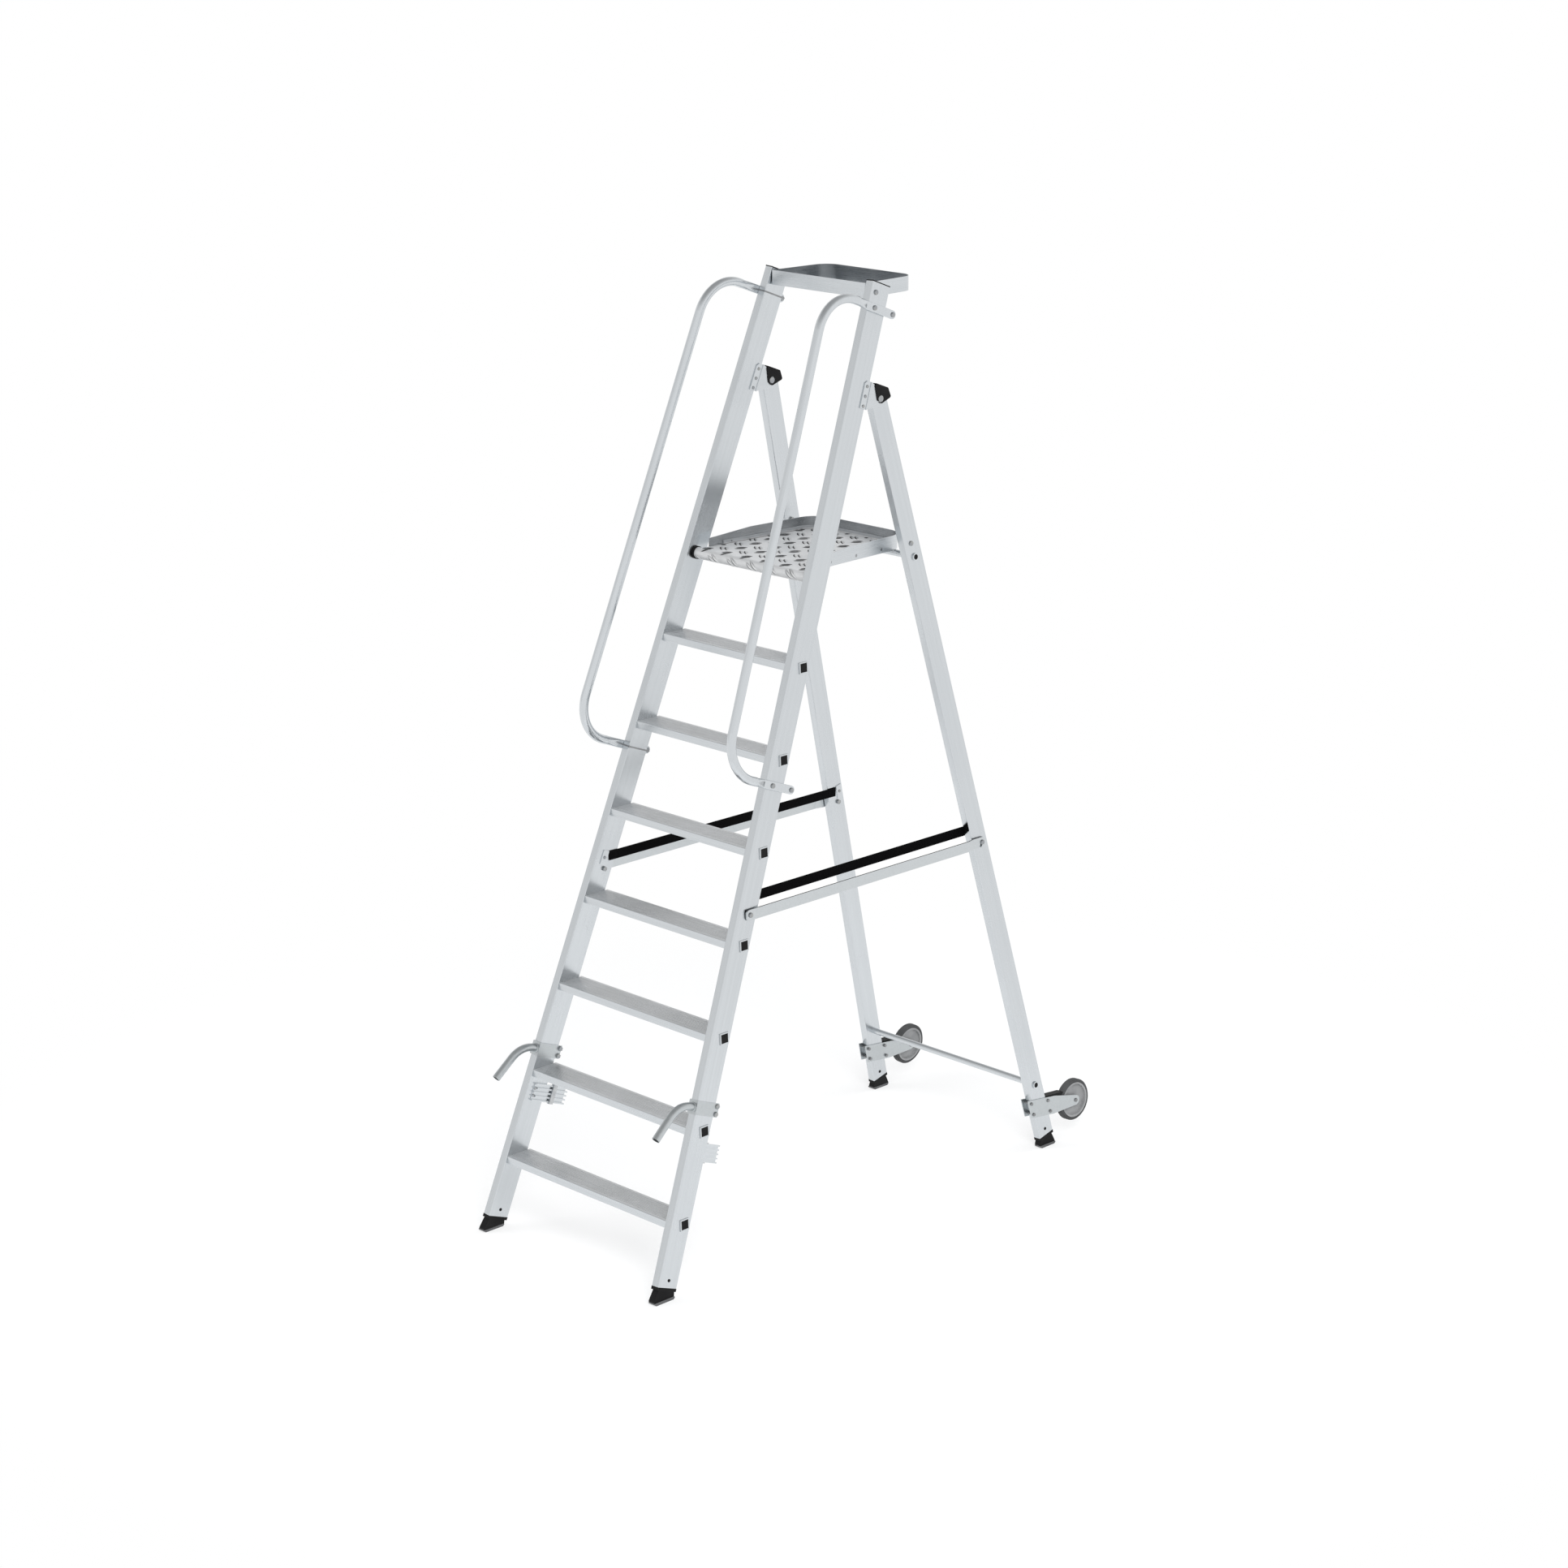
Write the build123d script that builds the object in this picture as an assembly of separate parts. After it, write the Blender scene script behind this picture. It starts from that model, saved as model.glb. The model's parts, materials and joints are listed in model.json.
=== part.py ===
from build123d import *
import os
from math import atan, cos, degrees, radians, sin, tan

# Folding platform ladder with lift handles and wheels, in millimetres and degrees.
# X runs across the ladder, Y rearward and Z up from the floor.
# On a stile or leg, t is depth behind its front face and u is height along its frame.
# p is measured out of its outer face, so p = -width is the inner face.

# Stiles and steps
STEP_COUNT = 7
STEP_RISE = 235.0
FIRST_TREAD_Z = 209.4
FRONT_LEAN = 20.67
FLARE = 3.19
STILE_FOOT_HALF = 358.5
STILE_DEPTH = 70.0
STILE_WIDTH = 25.0
STILE_WALL = 2.0
STILE_LOW = 53.0
STILE_TOP_ABOVE_PLATFORM = 805.0
TUBE_CORNER = 2.0
TREAD_DEPTH = 81.0
TREAD_SETBACK = 1.4
TREAD_SKIN = 2.6
TREAD_LIP = 21.0
TREAD_NOSE_RADIUS = 2.0
TREAD_END_GAP = 0.2
GROOVE_COUNT = 12
GROOVE_PITCH = 5.4
GROOVE_WIDTH = 2.2
GROOVE_DEPTH = 0.9
STEP_TUBE = 28.0
STEP_TUBE_WALL = 1.5
STEP_TUBE_BEHIND_NOSE = 43.2
STEP_TUBE_BELOW_TREAD = 15.8
FLANGE = 31.0
FLANGE_PROUD = 3.0
PLUG_LENGTH = 12.0
PLUG_RECESS = 0.6
CAP_THICKNESS = 3.0
CAP_PLUG_LENGTH = 15.0

# Rear legs
REAR_LEAN = 14.74
LEG_DEPTH = 58.0
LEG_SIDE_GAP = 0.5
LEG_WALL = 2.0
LEG_LOW = 32.0
BAR_RADIUS = 9.0
BAR_WALL = 1.5
BAR_FLARE = 1.8
BAR_PROUD = 4.0
LOWER_BAR_U = 201.0
STOP_BOLT_ABOVE_BAR = 41.0
STOP_BOLT_T = 26.0

# Hinge at the top of the rear legs
HINGE_BEHIND_STILE = 48.0
HINGE_ABOVE_PLATFORM = 513.0
HINGE_PIN_RADIUS = 6.0
HINGE_PLATE = 3.0
HINGE_JOG = 1.5
HINGE_END_RADIUS = 20.0
HINGE_RIVET_PITCH = 27.0
HINGE_RIVET_INSET = 9.0
HINGE_RIVET_MIDDLE_U = -8.0
HINGE_HEAD_RADIUS = 9.5
HINGE_HEAD = 4.0
HINGE_HEAD_GAP = 0.6
PLATE_AHEAD_OF_RIVET = 11.0
PLATE_BELOW_RIVET = 7.0
PLATE_ABOVE_RIVET = 15.0
PLATE_CORNER = 8.0
PLATE_JOG_LENGTH = 4.0
LUG_TURN = 20.0
COVER_THICKNESS = 3.0
COVER_TOP_GAP = 3.0
COVER_FRONT = 30.0
COVER_REAR = 38.0
COVER_TOP_REAR = 19.0
COVER_LOW = 14.0
COVER_CORNER = 5.0
COVER_HEAD_GAP = 1.0

# Platform and toe board
PLATFORM_DROP = 7.4
PLATFORM_LENGTH = 419.0
PLATFORM_SKIN = 3.0
PLATFORM_TAPER = 0.0633
NOSE_RADIUS = 16.0
NOSE_T = 32.5
NOSE_LIP = 6.0
TOE_INSET = 13.5
TOE_WALL = 2.0
TOE_BELOW_TOP = 6.0
TOE_ABOVE_TOP = 35.0
TOE_FRONT_ABOVE_TOP = 23.0
TOE_FRONT_BEHIND_NOSE = 26.0
TOE_RAMP = 150.0
TOE_CORNER = 65.0
TOE_LIP = 11.0
TOE_RIVET_COUNT = 3
TOE_RIVET_START = 104.0
TOE_RIVET_PITCH = 105.0
BUSH_RADIUS = 18.0
BUSH_LENGTH = 8.0
BUSH_SPIGOT = 15.0
PLATFORM_PIN_RADIUS = 6.0
PLATFORM_PIN_IN_BUSH = 20.0
PLATFORM_PIN_IN_STILE = 12.0

# Tool tray
TRAY_BOLT_T = 20.0
TRAY_BOLT_BELOW_TOP = 26.0
TRAY_LENGTH = 205.0
TRAY_HEIGHT = 40.0
TRAY_WALL = 1.5
TRAY_TAPER = 0.06
TRAY_FRONT_CORNER = 4.0
TRAY_REAR_CORNER = 45.0
TRAY_FRONT_BEFORE_BOLT = 13.0
TRAY_BOLT_ABOVE_FLOOR = 17.0

# Hand rails
RAIL_RADIUS = 12.5
RAIL_WALL = 2.0
RAIL_OUT = 13.0
RAIL_REACH = 177.0
RAIL_BEND = 110.0
RAIL_TOP_ABOVE_PLATFORM = 737.0
RAIL_LOW_BELOW_STEP_6 = 73.0
RAIL_FLAT_WIDTH = 24.0
RAIL_FLAT = 8.0
RAIL_FLAT_SLOT = 2.0
RAIL_FLAT_START = -12.0
RAIL_PINCH = 42.0
PINCH_STEP = 0.6
PINCH_FLAT = 1.0
RAIL_BEHIND_STILE = 35.0
RAIL_BOLT_T = 20.0
RAIL_REAR_BOLT_BEHIND = 24.0
CLIP_THICKNESS = 3.0
CLIP_HEIGHT = 4.0
CLIP_TAIL = 8.0

# Lift handles
HANDLE_RADIUS = 11.0
HANDLE_WALL = 2.0
HANDLE_ABOVE_STEP_2 = 59.5
HANDLE_FORWARD = 57.0
HANDLE_TIP_FORWARD = 56.5
HANDLE_TIP_DROP = 100.0
HANDLE_BEND = 75.0
BRACKET_THICKNESS = 3.0
BRACKET_HEIGHT = 38.0
BRACKET_BEHIND_STILE = 11.0
HANDLE_BOLT_PITCH = 21.0

# Transport catches
CATCH_BELOW_STEP_2 = 60.0
CATCH_FRONT_T = 22.0
CATCH_BEHIND_STILE = 77.0
CATCH_HEIGHT = 50.0
CATCH_BASE = 2.5
CATCH_RIB = 4.0
CATCH_RIB_DEPTH = 5.0
CATCH_RIB_COUNT = 5
CATCH_GROOVE = 1.2
CATCH_TOOTH = 5.0
CATCH_SPRING_T = 88.0
CATCH_SPRING_LENGTH = 14.0
CATCH_SPRING_DEPTH = 3.0
CATCH_SCREW_T = 27.0
CATCH_SCREW_PITCH = 21.0

# Shoes
COLLAR = 9.0
SHOE_PLUG_LENGTH = 34.0
SHOE_NECK_INSET = 7.0
SHOE_SIDE_INSET = 1.5
SHOE_TOE = 5.0
SHOE_HEEL = 3.0
SOLE = 7.0
SOLE_OUT = 1.0
SOLE_BEVEL = 5.0
SOLE_BEVEL_HEIGHT = 3.5
FRONT_SOLE_START = 3.0
FRONT_SOLE_LENGTH = 71.0
REAR_SOLE_START = -6.0
REAR_SOLE_LENGTH = 64.0
SHOE_SCREW_RADIUS = 3.5
SHOE_SCREW_HEAD_RADIUS = 4.5
SHOE_SCREW_HEAD = 1.2
FRONT_SHOE_SCREW_U = 73.0
REAR_SHOE_SCREW_U = 51.0

# Wheels and their brackets
WHEEL_RADIUS = 62.0
WHEEL_WIDTH = 22.0
HUB_RADIUS = 52.0
HUB_RIM = 5.0
HUB_WEB = 8.0
HUB_BOSS_RADIUS = 14.0
HUB_DRAFT = 1.0
TYRE_SHOULDER = 4.0
AXLE_RADIUS = 4.0
AXLE_HEAD_RADIUS = 6.0
AXLE_HEAD = 3.0
AXLE_BEHIND_LEG = 114.0
AXLE_U = 68.4
WHEEL_BRACKET_TILT = 21.2
WHEEL_BRACKET_HALF = 27.0
WHEEL_BRACKET_TIP = 15.0
WHEEL_BRACKET_TAPER = 95.0
WHEEL_BOLT_RADIUS = 3.0
WHEEL_BOLT_HEAD_RADIUS = 5.0
WHEEL_BOLT_HALF_PITCH = 18.0
WHEEL_BOLT_GAP = 1.5
WHEEL_EDGE = 5.5
WHEEL_PLATE = 3.0
SPACER_TOP = 33.0
SPACER_BOTTOM = 18.0
SPACER_TOP_END = 56.0
SPACER_BOTTOM_END = 84.0

# Braces and straps
BRACE_HEIGHT = 30.0
BRACE_THICKNESS = 4.0
BRACE_BOLT_T = 42.0
BRACE_ABOVE_STEP_4 = 83.0
BRACE_STANDOFF = 2.6
BRACE_REAR_STANDOFF = 1.6
BRACE_FRONT_OVERHANG = 15.0
BRACE_REAR_OVERHANG = 11.0
BRACE_CORNER = 10.0
BRACE_JOG_AHEAD = 62.0
BRACE_JOG_LENGTH = 26.0
BRACE_PIN_T = 33.0
BRACE_NOTCH_ANGLE = 59.3
BRACE_NOTCH_GAP = 0.4
STRAP_HEIGHT = 28.0
STRAP_THICKNESS = 1.5
STRAP_ABOVE_BRACE = 34.5
STRAP_FRONT_T = 30.0
STRAP_REAR_T = 43.0
STRAP_PLATE_WIDTH = 20.0
STRAP_PLATE_HEIGHT = 40.0
STRAP_PLATE = 2.4
STRAP_FACE_GAP = 1.5
STRAP_END_GAP = 0.3

# Fasteners and fits
BOLT_RADIUS = 4.0
BOLT_HEAD_RADIUS = 7.0
BOLT_HEAD = 4.0
NUT = 5.0
RIVET_RADIUS = 2.5
RIVET_HEAD_RADIUS = 4.5
RIVET_HEAD = 2.0
RIVET_SINK = 1.4
HEAD_ROUNDING = 0.6
FIT = 0.1
SEAT = 0.3
PAST = 1.0

FLARE_SLOPE = tan(radians(FLARE))
FLARE_COS = cos(radians(FLARE))
LEAN_SIN = sin(radians(FRONT_LEAN))
LEAN_COS = cos(radians(FRONT_LEAN))
LEG_SIN = sin(radians(REAR_LEAN))
LEG_COS = cos(radians(REAR_LEAN))
LEG_WIDTH = STILE_WIDTH - 2 * LEG_SIDE_GAP
RUN_OUT = 3400.0


def front_yz(t, u):
    return t * LEAN_COS + u * LEAN_SIN, u * LEAN_COS - t * LEAN_SIN


def front_tu(y, z):
    return y * LEAN_COS - z * LEAN_SIN, y * LEAN_SIN + z * LEAN_COS


def step_top(level):
    return FIRST_TREAD_Z + (level - 1) * STEP_RISE


def step_nose(level):
    return step_top(level) * LEAN_SIN / LEAN_COS + TREAD_SETBACK


def step_u(level):
    """Height along the stile of a step's square tube."""
    y = step_nose(level) + STEP_TUBE_BEHIND_NOSE
    z = step_top(level) - STEP_TUBE_BELOW_TREAD
    return front_tu(y, z)[1]


def stile_x(u):
    """Outer face of the right stile."""
    return STILE_FOOT_HALF - u * FLARE_SLOPE


PLATFORM_Z = step_top(STEP_COUNT + 1) - PLATFORM_DROP
NOSE_Z = PLATFORM_Z - NOSE_RADIUS
NOSE_U = (NOSE_Z + NOSE_T * LEAN_SIN) / LEAN_COS
NOSE_Y = front_yz(NOSE_T, NOSE_U)[0]
STILE_TOP = NOSE_U + STILE_TOP_ABOVE_PLATFORM
HINGE_T = STILE_DEPTH + HINGE_BEHIND_STILE
HINGE_U = NOSE_U + HINGE_ABOVE_PLATFORM
HINGE_Y, HINGE_Z = front_yz(HINGE_T, HINGE_U)
LEG_HINGE_U = (HINGE_Z - LEG_DEPTH / 2 * LEG_SIN) / LEG_COS
LEG_FLOOR_Y = HINGE_Y - LEG_DEPTH / 2 * LEG_COS + LEG_HINGE_U * LEG_SIN
LEG_FOOT_HALF = stile_x(HINGE_U) - LEG_SIDE_GAP + LEG_HINGE_U * FLARE_SLOPE

FRONT = Rot(-FRONT_LEAN, 0, 0)
STILE = FRONT * Pos(STILE_FOOT_HALF, 0, 0) * Rot(0, -FLARE, 0)
REAR = Pos(0, LEG_FLOOR_Y, 0) * Rot(REAR_LEAN, 0, 0)
LEG = REAR * Pos(LEG_FOOT_HALF, 0, 0) * Rot(0, -FLARE, 0)


def rear_yz(t, u):
    return LEG_FLOOR_Y + t * LEG_COS - u * LEG_SIN, t * LEG_SIN + u * LEG_COS


def leg_x(u):
    """Outer face of the right rear leg."""
    return LEG_FOOT_HALF - u * FLARE_SLOPE


def on_stile(t, u, p=0.0):
    return STILE * Pos(p, t, u / FLARE_COS)


def on_leg(t, u, p=0.0):
    return LEG * Pos(p, t, u / FLARE_COS)


def between(foot_half, offset, place):
    """Slab of space between a pair of stiles or legs, out to offset from their outer faces."""
    half = foot_half + offset / FLARE_COS
    low = half + RUN_OUT * FLARE_SLOPE
    high = half - RUN_OUT * FLARE_SLOPE
    corners = [(-low, -RUN_OUT), (low, -RUN_OUT), (high, RUN_OUT), (-high, RUN_OUT)]
    outline = Polyline(*corners, close=True)
    return place * extrude(Plane.XZ * make_face(outline), amount=RUN_OUT, both=True)


def outline_plate(points, thickness, p=0.0):
    """Plate with its outline in t and u, its near face at p and its far face at p + thickness."""
    face = make_face(Polyline(*points, close=True))
    return Pos(p, 0, 0) * extrude(Plane.YZ * face, amount=thickness)


def rod(radius, start, end):
    """Round bar along X."""
    bar = Cylinder(radius, end - start, align=(Align.CENTER, Align.CENTER, Align.MIN))
    return Pos(start, 0, 0) * Rot(0, 90, 0) * bar


def block(p0, p1, t0, t1, u0, u1):
    low = (Align.MIN, Align.MIN, Align.MIN)
    return Pos(p0, t0, u0) * Box(p1 - p0, t1 - t0, u1 - u0, align=low)


def domed_head(radius, height):
    """Round head standing out along +X from the origin."""
    head = rod(radius, 0, height)
    rim = head.edges().filter_by(GeomType.CIRCLE).sort_by(Axis.X)[-1]
    return fillet(rim, height * HEAD_ROUNDING)


def bolt(outer, inner, radius=BOLT_RADIUS, head_radius=BOLT_HEAD_RADIUS):
    """Bolt along X with its domed head outside p = outer and its nut inside p = inner."""
    shank = rod(radius, inner, outer)
    nut = Pos(inner, 0, 0) * Rot(0, -90, 0) * extrude(RegularPolygon(head_radius, 6), NUT)
    return shank + Pos(outer, 0, 0) * domed_head(head_radius, BOLT_HEAD) + nut


def bolt_hole(outer, inner, radius=BOLT_RADIUS):
    return rod(radius + FIT, inner - PAST, outer + PAST)


def rivet(outer, inner):
    """Rivet along X with a domed head at each end."""
    head = domed_head(RIVET_HEAD_RADIUS, RIVET_HEAD)
    far = Pos(inner, 0, 0) * Rot(0, 180, 0) * head
    return rod(RIVET_RADIUS, inner, outer) + Pos(outer, 0, 0) * head + far


def rivet_hole(outer, inner):
    return rod(RIVET_RADIUS + FIT, inner - PAST, outer + PAST)


def sunk_head(room=0.0):
    """Cone that ends flush at p = 0."""
    low = (Align.CENTER, Align.CENTER, Align.MIN)
    cone = Cone(RIVET_RADIUS + room, RIVET_HEAD_RADIUS + room, RIVET_SINK, align=low)
    return Pos(-RIVET_SINK, 0, 0) * Rot(0, 90, 0) * cone


def flush_rivet(grip):
    """Rivet along X that is flush at both ends, from its sunk head at p = 0 to p = -grip."""
    return rod(RIVET_RADIUS, -grip, 0) + sunk_head()


def flush_rivet_hole(grip):
    return rivet_hole(0, -grip) + sunk_head(FIT) + rod(RIVET_HEAD_RADIUS + FIT, 0, PAST)


def tube_section(width, depth, low, high, inset=0.0):
    corner = max(TUBE_CORNER - inset, FIT)
    face = RectangleRounded(width - 2 * inset, depth - 2 * inset, corner)
    return Pos(-width / 2, depth / 2, low) * extrude(face, high - low)


def bent_tube(points, radius, bend):
    path = FilletPolyline(*points, radius=bend)
    section = Plane(origin=path @ 0, z_dir=path % 0) * Circle(radius)
    return sweep(section, path=path)


def both(piece):
    return [piece, mirror(piece, about=Plane.YZ)]


def all_in(pieces):
    return [side for piece in pieces for side in both(piece)]


nodes = {}


def keep(name, pieces):
    solids = [solid for piece in pieces for solid in piece.solids()]
    nodes[name] = solids


def keep_pair(name, piece):
    keep(name + "_right", [piece])
    keep(name + "_left", [mirror(piece, about=Plane.YZ)])


stile_cuts = []
leg_cuts = []


# Steps: a ribbed tread with lips, on a square tube that is flared outside the stiles

STEP_INSIDE = between(STILE_FOOT_HALF, -STILE_WIDTH - TREAD_END_GAP, FRONT)
STEP_FACE = between(STILE_FOOT_HALF, 0, FRONT)
STEP_OUTSIDE = between(STILE_FOOT_HALF, FLANGE_PROUD, FRONT)
PLUG_OUTSIDE = between(STILE_FOOT_HALF, FLANGE_PROUD - PLUG_RECESS, FRONT)
PLUG_INSIDE = between(STILE_FOOT_HALF, FLANGE_PROUD - PLUG_RECESS - PLUG_LENGTH, FRONT)
STEP_SPAN = STILE_FOOT_HALF + FLANGE


def across(face):
    """Extrude a Y-Z face across the ladder."""
    return extrude(Plane.YZ * face, amount=STEP_SPAN, both=True)


def corner_box(y, z, length, height):
    return Pos(y, z) * Rectangle(length, height, align=(Align.MIN, Align.MAX))


def tread_face():
    skin = corner_box(0, 0, TREAD_DEPTH, TREAD_SKIN)
    front_lip = corner_box(0, 0, TREAD_SKIN, TREAD_LIP)
    rear_lip = corner_box(TREAD_DEPTH - TREAD_SKIN, 0, TREAD_SKIN, TREAD_LIP)
    face = skin + front_lip + rear_lip
    nose = face.vertices().group_by(Axis.Y)[-1].sort_by(Axis.X)[0]
    face = fillet(nose, TREAD_NOSE_RADIUS)
    start = (TREAD_DEPTH - (GROOVE_COUNT - 1) * GROOVE_PITCH - GROOVE_WIDTH) / 2
    for index in range(GROOVE_COUNT):
        face -= corner_box(start + index * GROOVE_PITCH, 0, GROOVE_WIDTH, GROOVE_DEPTH)
    return face


def step_tube_place(level):
    y = step_nose(level) + STEP_TUBE_BEHIND_NOSE
    return Pos(0, y, step_top(level) - STEP_TUBE_BELOW_TREAD)


def step(level):
    bore = STEP_TUBE - 2 * STEP_TUBE_WALL
    tread = (Pos(0, step_nose(level), step_top(level)) * across(tread_face())) & STEP_INSIDE
    tube = (step_tube_place(level) * across(Rectangle(STEP_TUBE, STEP_TUBE))) & STEP_OUTSIDE
    collar = step_tube_place(level) * across(Rectangle(FLANGE, FLANGE))
    flange = (collar & STEP_OUTSIDE) - STEP_FACE
    return tread + tube + flange - step_tube_place(level) * across(Rectangle(bore, bore))


def step_plugs(level):
    size = STEP_TUBE - 2 * STEP_TUBE_WALL - 2 * FIT
    return ((step_tube_place(level) * across(Rectangle(size, size))) & PLUG_OUTSIDE) - PLUG_INSIDE


plugs = []
for level in range(1, STEP_COUNT + 1):
    keep(f"step_{level}", [step(level)])
    plugs.append(step_plugs(level))
    hole = STEP_TUBE + 2 * FIT
    stile_cuts.append(step_tube_place(level) * across(Rectangle(hole, hole)))
keep("step_plugs", plugs)


# Hinge plates, rivets, pins and covers

HINGE = on_stile(HINGE_T, HINGE_U)
RIVET_T = -HINGE_BEHIND_STILE - HINGE_RIVET_INSET
PLATE_FRONT = RIVET_T - PLATE_AHEAD_OF_RIVET
PLATE_LOW = HINGE_RIVET_MIDDLE_U - HINGE_RIVET_PITCH - PLATE_BELOW_RIVET
PLATE_HIGH = HINGE_RIVET_MIDDLE_U + HINGE_RIVET_PITCH + PLATE_ABOVE_RIVET
JOG_START = -HINGE_BEHIND_STILE + PLATE_JOG_LENGTH / 2
JOG_END = JOG_START + PLATE_JOG_LENGTH
HINGE_AXIS = Pos(stile_x(HINGE_U), HINGE_Y, HINGE_Z)
PIN_OUT = HINGE_JOG + HINGE_PLATE + HINGE_HEAD_GAP
PIN_BORE = HINGE_AXIS * rod(HINGE_PIN_RADIUS + FIT, -2 * STILE_WIDTH, STILE_WIDTH)
HINGE_RIVET_PLACES = [Pos(0, RIVET_T, HINGE_RIVET_MIDDLE_U + row * HINGE_RIVET_PITCH) for row in (-1, 0, 1)]


def hinge_plate_outline():
    """Outlines in t and u about the hinge of the part on the stile and the part that holds the pin."""
    fixed = [(PLATE_FRONT, PLATE_LOW), (JOG_END, PLATE_LOW), (JOG_END, PLATE_HIGH)]
    fixed += [(PLATE_FRONT + PLATE_CORNER, PLATE_HIGH), (PLATE_FRONT, PLATE_HIGH - PLATE_CORNER)]
    low_tangent = (HINGE_END_RADIUS * sin(radians(LUG_TURN)), -HINGE_END_RADIUS * cos(radians(LUG_TURN)))
    high_tangent = (low_tangent[0], -low_tangent[1])
    free = [(JOG_START, PLATE_LOW), low_tangent, high_tangent, (JOG_START, PLATE_HIGH)]
    return fixed, free


def hinge_plate(face, out):
    """One hinge plate, seated on the stile's face at p = face, on the side that out points to."""
    fixed, free = hinge_plate_outline()
    near = min(face, face + out * HINGE_PLATE)
    far = min(face + out * HINGE_JOG, face + out * (HINGE_JOG + HINGE_PLATE))
    bridge_near = min(face, face + out * (HINGE_JOG + HINGE_PLATE))
    plate = outline_plate(fixed, HINGE_PLATE, near) + outline_plate(free, HINGE_PLATE, far)
    plate += Pos(far, 0, 0) * rod(HINGE_END_RADIUS, 0, HINGE_PLATE)
    depth = HINGE_JOG + HINGE_PLATE
    plate += block(bridge_near, bridge_near + depth, JOG_START, JOG_END, PLATE_LOW, PLATE_HIGH)
    for place in HINGE_RIVET_PLACES:
        plate -= place * rivet_hole(HINGE_PLATE, -STILE_WIDTH - HINGE_PLATE)
    return HINGE * plate - PIN_BORE


leg_cuts.append(PIN_BORE)
keep("hinge_plates", all_in([hinge_plate(0, 1), hinge_plate(-STILE_WIDTH, -1)]))

hinge_rivets = []
for place in HINGE_RIVET_PLACES:
    hinge_rivets.append(HINGE * place * rivet(HINGE_PLATE, -STILE_WIDTH - HINGE_PLATE))
    stile_cuts.append(HINGE * place * rivet_hole(HINGE_PLATE, -STILE_WIDTH - HINGE_PLATE))


def hinge_pin():
    inner = -STILE_WIDTH - PIN_OUT
    head = domed_head(HINGE_HEAD_RADIUS, HINGE_HEAD)
    pin = rod(HINGE_PIN_RADIUS, inner, PIN_OUT) + Pos(PIN_OUT, 0, 0) * head
    pin += Pos(inner, 0, 0) * Rot(0, 180, 0) * head
    return HINGE_AXIS * pin


def hinge_cover():
    """Roof over the round end of the leg, with a cheek outside each hinge plate."""
    roof = LEG_DEPTH / 2 + COVER_TOP_GAP
    top = roof + COVER_THICKNESS
    near = HINGE_JOG + HINGE_PLATE
    far = near + COVER_THICKNESS
    rear_low = (COVER_CORNER, -COVER_LOW)
    points = [(-COVER_FRONT, top), (COVER_TOP_REAR, top), (COVER_REAR, COVER_LOW), rear_low]
    points += [(-2 * COVER_CORNER, -COVER_LOW / 2), (-COVER_FRONT, roof - COVER_CORNER)]
    cheek = outline_plate(points, COVER_THICKNESS, near)
    corners = cheek.edges().filter_by(Axis.X).sort_by(Axis.Y)
    cheek = fillet(corners[-2:], COVER_CORNER)
    cheek = fillet(cheek.edges().filter_by(Axis.X).sort_by(Axis.Y)[2:4], 2 * COVER_CORNER)
    inner_cheek = Pos(-STILE_WIDTH - near - far, 0, 0) * cheek
    lid = block(-STILE_WIDTH - far, far, -COVER_FRONT, COVER_TOP_REAR - COVER_THICKNESS, roof, top)
    opening = HINGE_AXIS * rod(HINGE_HEAD_RADIUS + COVER_HEAD_GAP, -2 * STILE_WIDTH, STILE_WIDTH)
    return HINGE * (cheek + inner_cheek + lid) - opening


keep("hinge_pins", both(hinge_pin()))
keep("hinge_covers", both(hinge_cover()))


# Platform: chequer plate with a rolled nose, toe board, rivets, bushes and pivot pins

NOSE_PLACE = Pos(0, NOSE_Y, NOSE_Z)
STILE_INNER_AT_NOSE = stile_x(NOSE_U) - STILE_WIDTH / FLARE_COS
BUSH_END = STILE_INNER_AT_NOSE - BUSH_RADIUS * FLARE_SLOPE - SEAT
NOSE_HALF = BUSH_END - BUSH_LENGTH
TOE_HALF = NOSE_HALF - TOE_INSET
TOE_LOW = PLATFORM_Z - TOE_BELOW_TOP


def plan(half, front, rear, corner):
    """Tapered plan outline from front to rear, measured back from the nose."""
    wide = half - front * PLATFORM_TAPER
    narrow = half - rear * PLATFORM_TAPER
    corners = [(-wide, front), (wide, front), (narrow, rear), (-narrow, rear)]
    face = make_face(Polyline(*corners, close=True))
    return Pos(0, NOSE_Y) * fillet(face.vertices().group_by(Axis.Y)[-1], corner)


def slab(face, low, high):
    return Pos(0, 0, low) * extrude(face, high - low)


TOE_INNER = TOE_HALF - TOE_WALL
PLATE_HALF = TOE_INNER - FIT
PLATE_REAR = PLATFORM_LENGTH - TOE_WALL - FIT


def platform_plate():
    corner = TOE_CORNER - TOE_WALL - FIT
    sheet = slab(plan(PLATE_HALF, 0, PLATE_REAR, corner), PLATFORM_Z - PLATFORM_SKIN, PLATFORM_Z)
    lip_plan = plan(PLATE_HALF, TOE_RAMP / 2, PLATE_REAR, corner)
    lip_plan -= plan(PLATE_HALF - PLATFORM_SKIN, 0, PLATE_REAR - PLATFORM_SKIN, corner - PLATFORM_SKIN)
    sheet += slab(lip_plan, PLATFORM_Z - PLATFORM_SKIN, PLATFORM_Z + TOE_LIP)
    ring = Circle(NOSE_RADIUS) - Circle(NOSE_RADIUS - PLATFORM_SKIN)
    size = 4 * NOSE_RADIUS
    ring &= Pos(NOSE_LIP, 0) * Rectangle(size, size, align=(Align.MAX, Align.CENTER))
    roll = NOSE_PLACE * extrude(Plane.YZ * ring, amount=NOSE_HALF, both=True)
    return sheet + roll


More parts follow.
